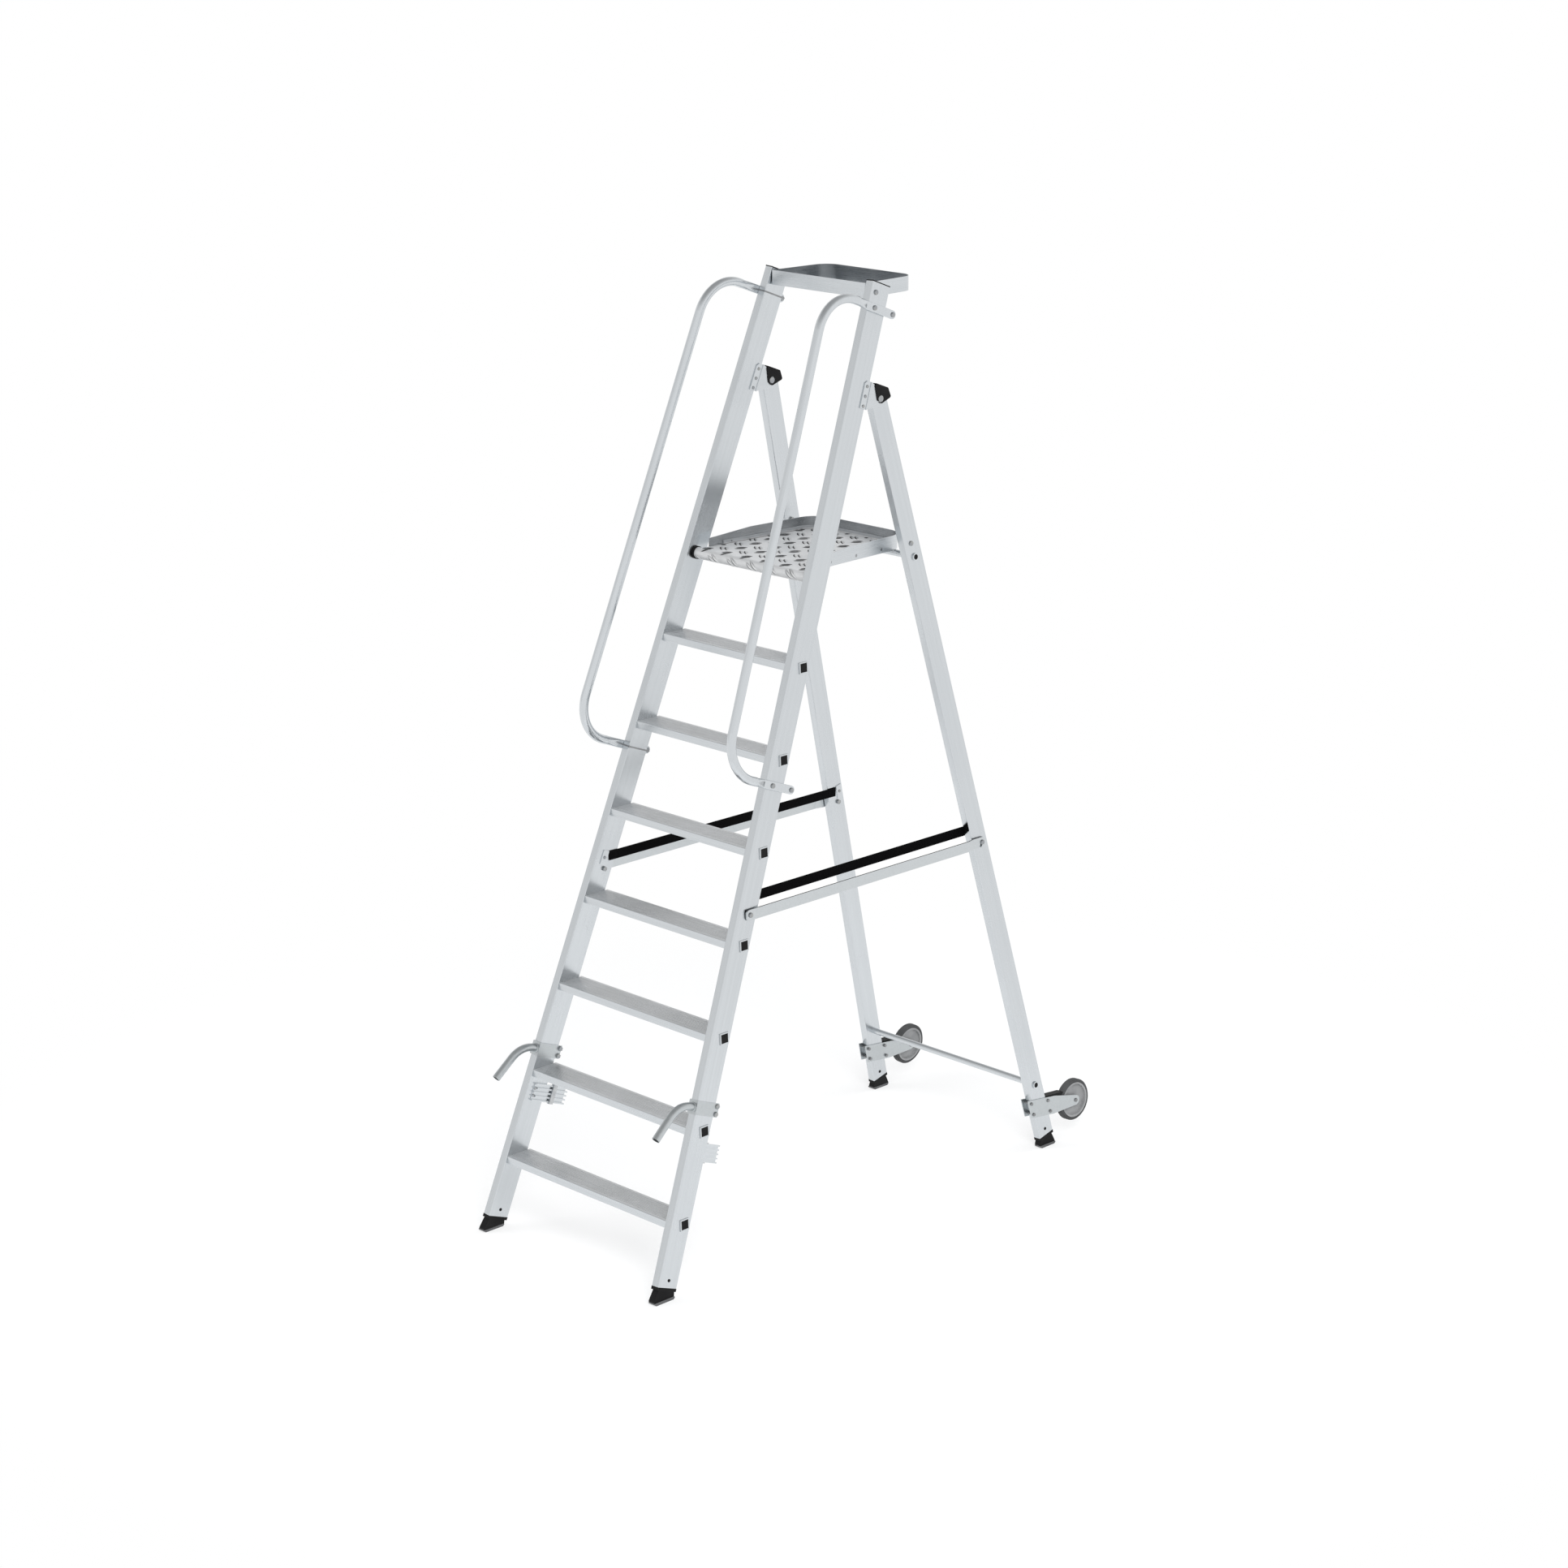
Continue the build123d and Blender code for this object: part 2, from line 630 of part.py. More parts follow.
def toe_board():
    wall = plan(TOE_HALF, TOE_FRONT_BEHIND_NOSE, PLATFORM_LENGTH, TOE_CORNER)
    wall -= plan(TOE_INNER, 0, PLATFORM_LENGTH - TOE_WALL, TOE_CORNER - TOE_WALL)
    board = slab(wall, TOE_LOW, PLATFORM_Z + TOE_ABOVE_TOP)
    front = TOE_FRONT_BEHIND_NOSE
    step_down = TOE_ABOVE_TOP - TOE_FRONT_ABOVE_TOP
    end = front + TOE_RAMP
    ramp = Polyline((front - PAST, PAST), (end, PAST), (end, 0), (front - PAST, -step_down), close=True)
    waste = Pos(0, NOSE_Y, PLATFORM_Z + TOE_ABOVE_TOP) * across(make_face(ramp))
    return board - waste


TOE_TURN = degrees(atan(PLATFORM_TAPER))


def toe_rivet_places():
    places = []
    for index in range(TOE_RIVET_COUNT):
        back = TOE_RIVET_START + index * TOE_RIVET_PITCH
        place = Pos(TOE_HALF - back * PLATFORM_TAPER, NOSE_Y + back, PLATFORM_Z + TOE_LIP / 2)
        places.append(place * Rot(0, 0, TOE_TURN))
    return places


TOE_GRIP = TOE_WALL + PLATFORM_SKIN + FIT
toe_rivets = [place * flush_rivet(TOE_GRIP) for place in toe_rivet_places()]
toe_holes = all_in([place * flush_rivet_hole(TOE_GRIP) for place in toe_rivet_places()])
plate = platform_plate()
board = toe_board()
for hole in toe_holes:
    plate -= hole
    board -= hole
keep("platform_plate", [plate])
keep("toe_board", [board])
keep("platform_rivets", all_in(toe_rivets))

PIN_END = BUSH_END - PLATFORM_PIN_IN_BUSH
bush = rod(BUSH_RADIUS, NOSE_HALF + FIT, BUSH_END)
bush += rod(NOSE_RADIUS - PLATFORM_SKIN - FIT, NOSE_HALF - BUSH_SPIGOT, NOSE_HALF + FIT)
bush -= rod(PLATFORM_PIN_RADIUS + FIT, NOSE_HALF - BUSH_SPIGOT - PAST, BUSH_END + PAST)
keep("platform_bushes", both(NOSE_PLACE * bush))
PIN_ROOT = STILE_INNER_AT_NOSE + PLATFORM_PIN_IN_STILE
keep("platform_pins", both(NOSE_PLACE * rod(PLATFORM_PIN_RADIUS, PIN_END, PIN_ROOT)))
stile_cuts.append(NOSE_PLACE * rod(PLATFORM_PIN_RADIUS + FIT, PIN_END, PIN_ROOT + PAST))


# Tool tray, held by one bolt through each stile

TRAY_BOLT_U = STILE_TOP - TRAY_BOLT_BELOW_TOP
TRAY_BOLT_Y, TRAY_BOLT_Z = front_yz(TRAY_BOLT_T, TRAY_BOLT_U)
TRAY_FRONT_Y = TRAY_BOLT_Y - TRAY_FRONT_BEFORE_BOLT
TRAY_LOW_Z = TRAY_BOLT_Z - TRAY_BOLT_ABOVE_FLOOR
TRAY_HALF = stile_x(STILE_TOP) - STILE_WIDTH / FLARE_COS - 2 * SEAT
TRAY_SIDE_GAP = TRAY_BOLT_BELOW_TOP * FLARE_SLOPE + TRAY_FRONT_BEFORE_BOLT * TRAY_TAPER + 2 * SEAT
TRAY_NUT_TILT = BOLT_HEAD_RADIUS * (FLARE_SLOPE + TRAY_TAPER)


def tray_plan(inset):
    front = TRAY_FRONT_Y + inset
    rear = TRAY_FRONT_Y + TRAY_LENGTH - inset
    wide = TRAY_HALF - inset
    narrow = wide - TRAY_LENGTH * TRAY_TAPER
    corners = [(-wide, front), (wide, front), (narrow, rear), (-narrow, rear)]
    face = make_face(Polyline(*corners, close=True))
    face = fillet(face.vertices().group_by(Axis.Y)[-1], TRAY_REAR_CORNER - inset)
    return fillet(face.vertices().group_by(Axis.Y)[0], TRAY_FRONT_CORNER - inset)


tray = slab(tray_plan(0), TRAY_LOW_Z, TRAY_LOW_Z + TRAY_HEIGHT)
tray -= slab(tray_plan(TRAY_WALL), TRAY_LOW_Z + TRAY_WALL, TRAY_LOW_Z + TRAY_HEIGHT + PAST)
TRAY_BOLT_END = -STILE_WIDTH - TRAY_SIDE_GAP - TRAY_WALL - SEAT - TRAY_NUT_TILT
tray_bolt_place = on_stile(TRAY_BOLT_T, TRAY_BOLT_U)
tray_hole = tray_bolt_place * bolt_hole(0, TRAY_BOLT_END)
stile_cuts.append(tray_hole)
for hole in both(tray_hole):
    tray -= hole
keep("tool_tray", [tray])
frame_bolts = [tray_bolt_place * bolt(0, TRAY_BOLT_END)]


# Hand rails: a bent tube with pinched ends, bolted to the stile, and a band that ties each end round it

RAIL_TOP_U = NOSE_U + RAIL_TOP_ABOVE_PLATFORM
RAIL_LOW_U = step_u(6) - RAIL_LOW_BELOW_STEP_6
RAIL_END_T = STILE_DEPTH + RAIL_BEHIND_STILE
RAIL_REAR_BOLT_T = STILE_DEPTH + RAIL_REAR_BOLT_BEHIND
RAIL_BOLT_TS = (RAIL_BOLT_T, RAIL_REAR_BOLT_T)


def pinched_end(radius, width, thickness, overlap, place):
    """Round tube drawn down to a flat strip that lies on the stile, with a small step where it starts."""
    start = RAIL_FLAT_START - RAIL_PINCH - overlap
    round_face = RectangleRounded(2 * radius, 2 * radius, radius - PINCH_FLAT / 2)
    flat_face = RectangleRounded(thickness, width, (thickness - PINCH_FLAT) / 2)
    facing = Plane((0, 0, 0), x_dir=(1, 0, 0), z_dir=(0, 1, 0))
    flat_place = Pos(RAIL_FLAT / 2, RAIL_FLAT_START, 0)
    pinch = loft([Pos(RAIL_OUT, start, 0) * (facing * round_face), flat_place * (facing * flat_face)])
    strip = flat_place * extrude(facing * flat_face, RAIL_END_T - RAIL_FLAT_START + overlap)
    return place * (pinch + strip)


def rail_end_waste():
    """What is cut away to round the end of a flat strip."""
    half = RAIL_FLAT_WIDTH / 2
    middle = RAIL_END_T - half
    square = block(-PAST, RAIL_FLAT + PAST, middle, RAIL_END_T + PAST, -half - PAST, half + PAST)
    return square - Pos(0, middle, 0) * rod(half, -2 * PAST, RAIL_FLAT + 2 * PAST)


def hand_rail():
    low = STILE * Pos(0, 0, RAIL_LOW_U / FLARE_COS)
    high = STILE * Pos(0, 0, RAIL_TOP_U / FLARE_COS)
    start = RAIL_FLAT_START - RAIL_PINCH
    foot, head = RAIL_LOW_U / FLARE_COS, RAIL_TOP_U / FLARE_COS
    points = [(RAIL_OUT, start, foot), (RAIL_OUT, -RAIL_REACH, foot)]
    points += [(RAIL_OUT, -RAIL_REACH, head), (RAIL_OUT, start, head)]
    bore = RAIL_RADIUS - RAIL_WALL
    rail = STILE * bent_tube(points, RAIL_RADIUS, RAIL_BEND)
    hollow = STILE * bent_tube(points, bore, RAIL_BEND)
    slot_width = RAIL_FLAT_WIDTH - RAIL_FLAT + RAIL_FLAT_SLOT
    for place in (low, high):
        rail += pinched_end(RAIL_RADIUS - PINCH_STEP, RAIL_FLAT_WIDTH, RAIL_FLAT, SEAT, place)
        hollow += pinched_end(bore - PINCH_STEP, slot_width, RAIL_FLAT_SLOT, 2 * SEAT, place)
    rail -= hollow
    for place in (low, high):
        for t in RAIL_BOLT_TS:
            rail -= place * Pos(0, t, 0) * bolt_hole(RAIL_FLAT, 0)
        rail -= place * rail_end_waste()
    return rail


def rail_clip(u):
    """Narrow band round the front, inner and rear faces, whose two ends meet the rail's flat strip."""
    thick = CLIP_THICKNESS
    half = CLIP_HEIGHT / 2
    clip = block(-STILE_WIDTH - thick, 0, -thick, STILE_DEPTH + thick, -half, half)
    clip -= block(-STILE_WIDTH, PAST, 0, STILE_DEPTH, -half - PAST, half + PAST)
    clip += block(-STILE_WIDTH - thick, -STILE_WIDTH, 0, STILE_DEPTH + CLIP_TAIL, -half, half)
    return on_stile(0, u) * clip


for u in (RAIL_LOW_U, RAIL_TOP_U):
    frame_bolts.append(on_stile(RAIL_BOLT_T, u) * bolt(RAIL_FLAT, -STILE_WALL))
    frame_bolts.append(on_stile(RAIL_REAR_BOLT_T, u) * bolt(RAIL_FLAT, 0))
    stile_cuts.append(on_stile(RAIL_BOLT_T, u) * bolt_hole(RAIL_FLAT, -STILE_WALL))
keep_pair("handrail", hand_rail())
keep("handrail_clips", all_in([rail_clip(RAIL_LOW_U), rail_clip(RAIL_TOP_U)]))


# Lift handles: a bent tube welded to a U bracket that two bolts hold round the stile

HANDLE_U = step_u(2) + HANDLE_ABOVE_STEP_2
HANDLE_PLACE = on_stile(0, HANDLE_U)
HANDLE_BOLT_T = STILE_DEPTH + BOLT_RADIUS + SEAT


def lift_handle():
    start = (-STILE_WIDTH / 2, -BRACKET_THICKNESS, 0)
    corner = (-STILE_WIDTH / 2, -HANDLE_FORWARD, 0)
    tip = (-STILE_WIDTH / 2, -HANDLE_FORWARD - HANDLE_TIP_FORWARD, -HANDLE_TIP_DROP)
    points = [start, corner, tip]
    tube = bent_tube(points, HANDLE_RADIUS, HANDLE_BEND)
    return HANDLE_PLACE * (tube - bent_tube(points, HANDLE_RADIUS - HANDLE_WALL, HANDLE_BEND))


def handle_bracket():
    thick = BRACKET_THICKNESS
    half = BRACKET_HEIGHT / 2
    rear = STILE_DEPTH + BRACKET_BEHIND_STILE
    bracket = block(-STILE_WIDTH - thick, thick, -thick, rear, -half, half)
    bracket -= block(-STILE_WIDTH, 0, 0, rear + PAST, -half - PAST, half + PAST)
    for side in (-1, 1):
        place = Pos(0, HANDLE_BOLT_T, side * HANDLE_BOLT_PITCH / 2)
        bracket -= place * bolt_hole(thick, -STILE_WIDTH - thick)
    return HANDLE_PLACE * bracket


for side in (-1, 1):
    place = HANDLE_PLACE * Pos(0, HANDLE_BOLT_T, side * HANDLE_BOLT_PITCH / 2)
    frame_bolts.append(place * bolt(BRACKET_THICKNESS, -STILE_WIDTH - BRACKET_THICKNESS))
keep_pair("lift_handle", lift_handle())
keep("handle_brackets", both(handle_bracket()))
keep("frame_bolts", all_in(frame_bolts))


# Transport catches on the inner faces, with a spring across each

CATCH_PLACE = on_stile(0, step_u(2) - CATCH_BELOW_STEP_2, -STILE_WIDTH)
CATCH_REAR_T = STILE_DEPTH + CATCH_BEHIND_STILE
CATCH_HALF = CATCH_HEIGHT / 2
CATCH_SPRING_P = -CATCH_BASE - CATCH_RIB_DEPTH


def catch_screw_places():
    return [Pos(0, CATCH_SCREW_T, side * CATCH_SCREW_PITCH / 2) for side in (-1, 1)]


def catch():
    """Ribbed rail on the inner face, grooved outside too behind the stile, where its ribs end as teeth."""
    rail = block(-CATCH_BASE, 0, CATCH_FRONT_T, CATCH_REAR_T, -CATCH_HALF, CATCH_HALF)
    pitch = (CATCH_HEIGHT - CATCH_RIB) / (CATCH_RIB_COUNT - 1)
    for index in range(CATCH_RIB_COUNT):
        low = -CATCH_HALF + index * pitch
        rail += block(CATCH_SPRING_P, 0, CATCH_FRONT_T, CATCH_REAR_T, low, low + CATCH_RIB)
    for index in range(CATCH_RIB_COUNT - 1):
        low = -CATCH_HALF + index * pitch + CATCH_RIB
        high = low + pitch - CATCH_RIB
        rail -= block(-CATCH_GROOVE, PAST, STILE_DEPTH, CATCH_REAR_T + PAST, low, high)
        rail -= block(-CATCH_BASE - PAST, PAST, CATCH_REAR_T - CATCH_TOOTH, CATCH_REAR_T + PAST, low, high)
    for place in catch_screw_places():
        rail -= place * rod(RIVET_HEAD_RADIUS + FIT, CATCH_SPRING_P - PAST, -CATCH_BASE)
        rail -= place * rivet_hole(0, -CATCH_BASE)
    return CATCH_PLACE * rail


def catch_spring():
    """Clip of spring sheet that wraps the catch on three sides."""
    deep = CATCH_SPRING_P - CATCH_SPRING_DEPTH
    wide = CATCH_HALF + CATCH_SPRING_DEPTH
    rear = CATCH_SPRING_T + CATCH_SPRING_LENGTH
    clip = block(deep, -FIT, CATCH_SPRING_T, rear, -wide, wide)
    inside = CATCH_HALF + FIT
    clip -= block(CATCH_SPRING_P - FIT, 0, CATCH_SPRING_T - PAST, rear + PAST, -inside, inside)
    return CATCH_PLACE * clip


catch_rivets = []
for place in catch_screw_places():
    catch_rivets.append(CATCH_PLACE * place * rivet(STILE_WALL, -CATCH_BASE))
    stile_cuts.append(CATCH_PLACE * place * rivet_hole(STILE_WALL - PAST, -CATCH_BASE))
keep("catches", both(catch()))
keep("catch_springs", both(catch_spring()))


# Braces: a flat bar that swings on the stile and drops its notch over a pin on the leg

BRACE_U = step_u(4) + BRACE_ABOVE_STEP_4
BRACE_Y, BRACE_Z = front_yz(BRACE_BOLT_T, BRACE_U)
BRACE_PIN_U = (BRACE_Z - BRACE_PIN_T * LEG_SIN) / LEG_COS
BRACE_PIN_Y = rear_yz(BRACE_PIN_T, BRACE_PIN_U)[0]
BRACE_X = stile_x(BRACE_U) + BRACE_STANDOFF
BRACE_REAR_X = leg_x(BRACE_PIN_U) + BRACE_REAR_STANDOFF
BRACE_BOLT_PLACE = Pos(0, BRACE_Y, BRACE_Z)
BRACE_PIN_PLACE = Pos(0, BRACE_PIN_Y, BRACE_Z)


def brace_bar():
    front = BRACE_Y - BRACE_FRONT_OVERHANG
    rear = BRACE_PIN_Y + BRACE_REAR_OVERHANG
    jog = BRACE_PIN_Y - BRACE_JOG_AHEAD
    jogged = jog + BRACE_JOG_LENGTH
    inner = [(BRACE_X, front), (BRACE_X, jog), (BRACE_REAR_X, jogged), (BRACE_REAR_X, rear)]
    outer = [(x + BRACE_THICKNESS, y) for x, y in reversed(inner)]
    half = BRACE_HEIGHT / 2
    bar = slab(make_face(Polyline(*inner, *outer, close=True)), BRACE_Z - half, BRACE_Z + half)
    ends = bar.edges().filter_by(Axis.X).sort_by(Axis.Y)
    bar = fillet(ends[:2] + ends[-2:], BRACE_CORNER)
    bar -= BRACE_BOLT_PLACE * rod(BOLT_RADIUS + FIT, 0, RUN_OUT)
    gap = BOLT_RADIUS + BRACE_NOTCH_GAP
    mouth = Rectangle(BRACE_HEIGHT, 2 * gap, align=(Align.MIN, Align.CENTER))
    notch = Circle(gap) + Rot(0, 0, 180 + BRACE_NOTCH_ANGLE) * mouth
    return bar - BRACE_PIN_PLACE * extrude(Plane.YZ * notch, RUN_OUT)


def brace_bolt():
    face = stile_x(BRACE_U)
    spread = BOLT_HEAD_RADIUS * FLARE_SLOPE
    outer = BRACE_X + BRACE_THICKNESS + SEAT
    inner = face - STILE_WIDTH - SEAT - spread
    collar = rod(BOLT_HEAD_RADIUS, face + spread + FIT, BRACE_X - SEAT)
    return BRACE_BOLT_PLACE * (bolt(outer, inner) + collar)


def brace_pin():
    face = leg_x(BRACE_PIN_U)
    spread = BOLT_HEAD_RADIUS * FLARE_SLOPE
    outer = BRACE_REAR_X + BRACE_THICKNESS + SEAT
    inner = face - LEG_WIDTH - SEAT - spread
    collar = rod(BOLT_HEAD_RADIUS, face + spread + FIT, BRACE_REAR_X - SEAT)
    return BRACE_PIN_PLACE * (bolt(outer, inner) + collar)


keep_pair("brace", brace_bar())
keep("brace_bolts", both(brace_bolt()))
keep("brace_pins", both(brace_pin()))
stile_cuts.append(BRACE_BOLT_PLACE * rod(BOLT_RADIUS + FIT, 0, RUN_OUT))
leg_cuts.append(BRACE_PIN_PLACE * rod(BOLT_RADIUS + FIT, 0, RUN_OUT))


# Straps: a band of webbing between riveted plates on the inner faces

STRAP_Z = BRACE_Z + STRAP_ABOVE_BRACE
STRAP_FRONT_U = (STRAP_Z + STRAP_FRONT_T * LEAN_SIN) / LEAN_COS
STRAP_REAR_U = (STRAP_Z - STRAP_REAR_T * LEG_SIN) / LEG_COS
STRAP_REACH = STRAP_PLATE_WIDTH / 2 + STRAP_END_GAP + STRAP_HEIGHT / 2 * LEAN_SIN


def strap_plate(place, width):
    """Plate riveted to an inner face, against the end of the band."""
    half_w = STRAP_PLATE_WIDTH / 2
    half_h = STRAP_PLATE_HEIGHT / 2
    plate = block(-width - STRAP_PLATE, -width, -half_w, half_w, -half_h, half_h)
    return place * (plate - rivet_hole(0, -width - STRAP_PLATE))


def strap_rivet(place, width, wall):
    return place * rivet(-width + wall, -width - STRAP_PLATE)


def strap():
    front_y = front_yz(STRAP_FRONT_T, STRAP_FRONT_U)[0] + STRAP_REACH / LEAN_COS
    rear_y = rear_yz(STRAP_REAR_T, STRAP_REAR_U)[0] - STRAP_REACH / LEG_COS
    front_x = stile_x(STRAP_FRONT_U) - STILE_WIDTH / FLARE_COS - STRAP_FACE_GAP
    rear_x = leg_x(STRAP_REAR_U) - LEG_WIDTH / FLARE_COS - STRAP_FACE_GAP
    thick = STRAP_THICKNESS
    corners = [(front_x, front_y), (rear_x, rear_y), (rear_x - thick, rear_y), (front_x - thick, front_y)]
    band = Polyline(*corners, close=True)
    middle = Pos((front_x + rear_x) / 2, 0, STRAP_Z)
    upright = slab(make_face(band), STRAP_Z - STRAP_HEIGHT / 2, STRAP_Z + STRAP_HEIGHT / 2)
    return middle * Rot(0, -FLARE, 0) * middle.inverse() * upright


STRAP_FRONT_PLACE = on_stile(STRAP_FRONT_T, STRAP_FRONT_U)
STRAP_REAR_PLACE = on_leg(STRAP_REAR_T, STRAP_REAR_U)
keep_pair("strap", strap())
keep("strap_plates_front", both(strap_plate(STRAP_FRONT_PLACE, STILE_WIDTH)))
keep("strap_plates_rear", both(strap_plate(STRAP_REAR_PLACE, LEG_WIDTH)))
front_rivets = hinge_rivets + catch_rivets + [strap_rivet(STRAP_FRONT_PLACE, STILE_WIDTH, STILE_WALL)]
keep("front_rivets", all_in(front_rivets))
keep("rear_rivets", both(strap_rivet(STRAP_REAR_PLACE, LEG_WIDTH, LEG_WALL)))
stile_cuts.append(STRAP_FRONT_PLACE * rivet_hole(-STILE_WIDTH + STILE_WALL - PAST, -STILE_WIDTH))
leg_cuts.append(STRAP_REAR_PLACE * rivet_hole(-LEG_WIDTH + LEG_WALL - PAST, -LEG_WIDTH))


# Shoes: a collar and plug in the tube's end, a wedge down to the floor and a grey sole

def sole(start, length, width, half):
    """Grey sole, bevelled at both ends, a little outside the line of the tube's outer face."""
    end = start + length
    points = [(start, SOLE), (start, SOLE_BEVEL_HEIGHT), (start + SOLE_BEVEL, 0), (end - SOLE_BEVEL, 0)]
    face = make_face(Polyline(*points, (end, SOLE_BEVEL_HEIGHT), (end, SOLE), close=True))
    return Pos(half + SOLE_OUT, 0, 0) * extrude(Plane.YZ * face, amount=-width)


def shoe(place, width, depth, wall, low, neck_yz, start, length, half):
    """Black shoe for a tube that is cut square at low; neck_yz turns t and u into y and z."""
    fit = wall + FIT
    collar = block(-width, 0, 0, depth, low - COLLAR, low)
    plug = block(-width + fit, -fit, fit, depth - fit, low, low + SHOE_PLUG_LENGTH)
    front = neck_yz(SHOE_NECK_INSET, low - COLLAR / 2)
    rear = neck_yz(depth - SHOE_NECK_INSET, low - COLLAR / 2)
    end = start + length
    base = [(start, SOLE + SHOE_TOE), (start, 0), (end, 0), (end, SOLE + SHOE_HEEL)]
    wedge = outline_plate([front, *base, rear], width - 2 * SHOE_SIDE_INSET, SHOE_SIDE_INSET - width)
    body = Pos(half, 0, 0) * Rot(0, -FLARE, 0) * wedge
    return place * (collar + plug) + (body & Pos(half, start, SOLE) * ABOVE)


def shoe_screw(place, width):
    """Black screw through both walls and the shoe's plug."""
    head = domed_head(SHOE_SCREW_HEAD_RADIUS, SHOE_SCREW_HEAD)
    tail = Pos(-width, 0, 0) * Rot(0, 180, 0) * head
    return place * (rod(SHOE_SCREW_RADIUS, -width, 0) + head + tail)


ABOVE = Box(RUN_OUT, RUN_OUT, RUN_OUT, align=(Align.CENTER, Align.CENTER, Align.MIN))
REAR_SOLE_Y = LEG_FLOOR_Y + REAR_SOLE_START
front_shoe = shoe(STILE, STILE_WIDTH, STILE_DEPTH, STILE_WALL, STILE_LOW, front_yz,
                  FRONT_SOLE_START, FRONT_SOLE_LENGTH, STILE_FOOT_HALF)
rear_shoe = shoe(LEG, LEG_WIDTH, LEG_DEPTH, LEG_WALL, LEG_LOW, rear_yz,
                 REAR_SOLE_Y, REAR_SOLE_LENGTH, LEG_FOOT_HALF)
FRONT_SCREW_PLACE = on_stile(STILE_DEPTH / 2, FRONT_SHOE_SCREW_U)
REAR_SCREW_PLACE = on_leg(LEG_DEPTH / 2, REAR_SHOE_SCREW_U)
front_screw_hole = FRONT_SCREW_PLACE * rod(SHOE_SCREW_RADIUS + FIT, -STILE_WIDTH - PAST, PAST)
rear_screw_hole = REAR_SCREW_PLACE * rod(SHOE_SCREW_RADIUS + FIT, -LEG_WIDTH - PAST, PAST)
keep("front_shoes", both(front_shoe - front_screw_hole))
keep("rear_shoes", both(rear_shoe - rear_screw_hole))
keep("front_soles", both(sole(FRONT_SOLE_START, FRONT_SOLE_LENGTH, STILE_WIDTH, STILE_FOOT_HALF)))
keep("rear_soles", both(sole(REAR_SOLE_Y, REAR_SOLE_LENGTH, LEG_WIDTH, LEG_FOOT_HALF)))
keep("front_shoe_screws", both(shoe_screw(FRONT_SCREW_PLACE, STILE_WIDTH)))
keep("rear_shoe_screws", both(shoe_screw(REAR_SCREW_PLACE, LEG_WIDTH)))
stile_cuts.append(front_screw_hole)
leg_cuts.append(rear_screw_hole)


# Cross bars: round tubes through the rear legs, flared outside and plugged

UPPER_BAR_Z = TOE_LOW - SEAT - BAR_RADIUS
UPPER_BAR_U = (UPPER_BAR_Z - LEG_DEPTH / 2 * LEG_SIN) / LEG_COS
BAR_OUTSIDE = between(LEG_FOOT_HALF, BAR_PROUD, REAR)
BAR_FACE = between(LEG_FOOT_HALF, 0, REAR)
BAR_PLUG_OUTSIDE = between(LEG_FOOT_HALF, BAR_PROUD - PLUG_RECESS, REAR)
BAR_PLUG_INSIDE = between(LEG_FOOT_HALF, BAR_PROUD - PLUG_RECESS - PLUG_LENGTH, REAR)


def bar_place(u):
    return Pos(0, *rear_yz(LEG_DEPTH / 2, u))


def cross_bar(u):
    full = rod(BAR_RADIUS, -STEP_SPAN, STEP_SPAN)
    collar = rod(BAR_RADIUS + BAR_FLARE, -STEP_SPAN, STEP_SPAN)
    bore = rod(BAR_RADIUS - BAR_WALL, -STEP_SPAN, STEP_SPAN)
    bar = (bar_place(u) * full) & BAR_OUTSIDE
    flare = ((bar_place(u) * collar) & BAR_OUTSIDE) - BAR_FACE
    return bar + flare - bar_place(u) * bore


def bar_plugs(u):
    core = bar_place(u) * rod(BAR_RADIUS - BAR_WALL - FIT, -STEP_SPAN, STEP_SPAN)
    return (core & BAR_PLUG_OUTSIDE) - BAR_PLUG_INSIDE


for u in (LOWER_BAR_U, UPPER_BAR_U):
    leg_cuts.append(bar_place(u) * rod(BAR_RADIUS + FIT, 0, STEP_SPAN))
keep("lower_crossbar", [cross_bar(LOWER_BAR_U)])
keep("upper_crossbar", [cross_bar(UPPER_BAR_U)])
keep("crossbar_plugs", [bar_plugs(LOWER_BAR_U), bar_plugs(UPPER_BAR_U)])
STOP_PLACE = on_leg(STOP_BOLT_T, UPPER_BAR_U + STOP_BOLT_ABOVE_BAR)
keep("stop_bolts", both(STOP_PLACE * bolt(0, -LEG_WIDTH)))
leg_cuts.append(STOP_PLACE * bolt_hole(0, -LEG_WIDTH))


# Wheel brackets: a cheek on each face of the leg, clamped by bolts ahead of it and behind it

TILT_SIN = sin(radians(WHEEL_BRACKET_TILT))
TILT_COS = cos(radians(WHEEL_BRACKET_TILT))
AXLE_T = LEG_DEPTH + AXLE_BEHIND_LEG
WHEEL_BOLT_FRONT_T = -WHEEL_BOLT_RADIUS - WHEEL_BOLT_GAP
WHEEL_BOLT_REAR_T = LEG_DEPTH + WHEEL_BOLT_RADIUS + WHEEL_BOLT_GAP
CHEEK_FRONT_T = WHEEL_BOLT_FRONT_T - WHEEL_BOLT_HEAD_RADIUS - WHEEL_EDGE


def bracket_u(t, side):
    """Height on the bracket's sloping line at depth t, side millimetres above its middle."""
    return AXLE_U + (AXLE_T - t) * TILT_SIN / TILT_COS + side


def bracket_point(along, side):
    """Point in t and u, measured forward from the axle along the bracket and across it."""
    return AXLE_T - along * TILT_COS + side * TILT_SIN, AXLE_U + along * TILT_SIN + side * TILT_COS


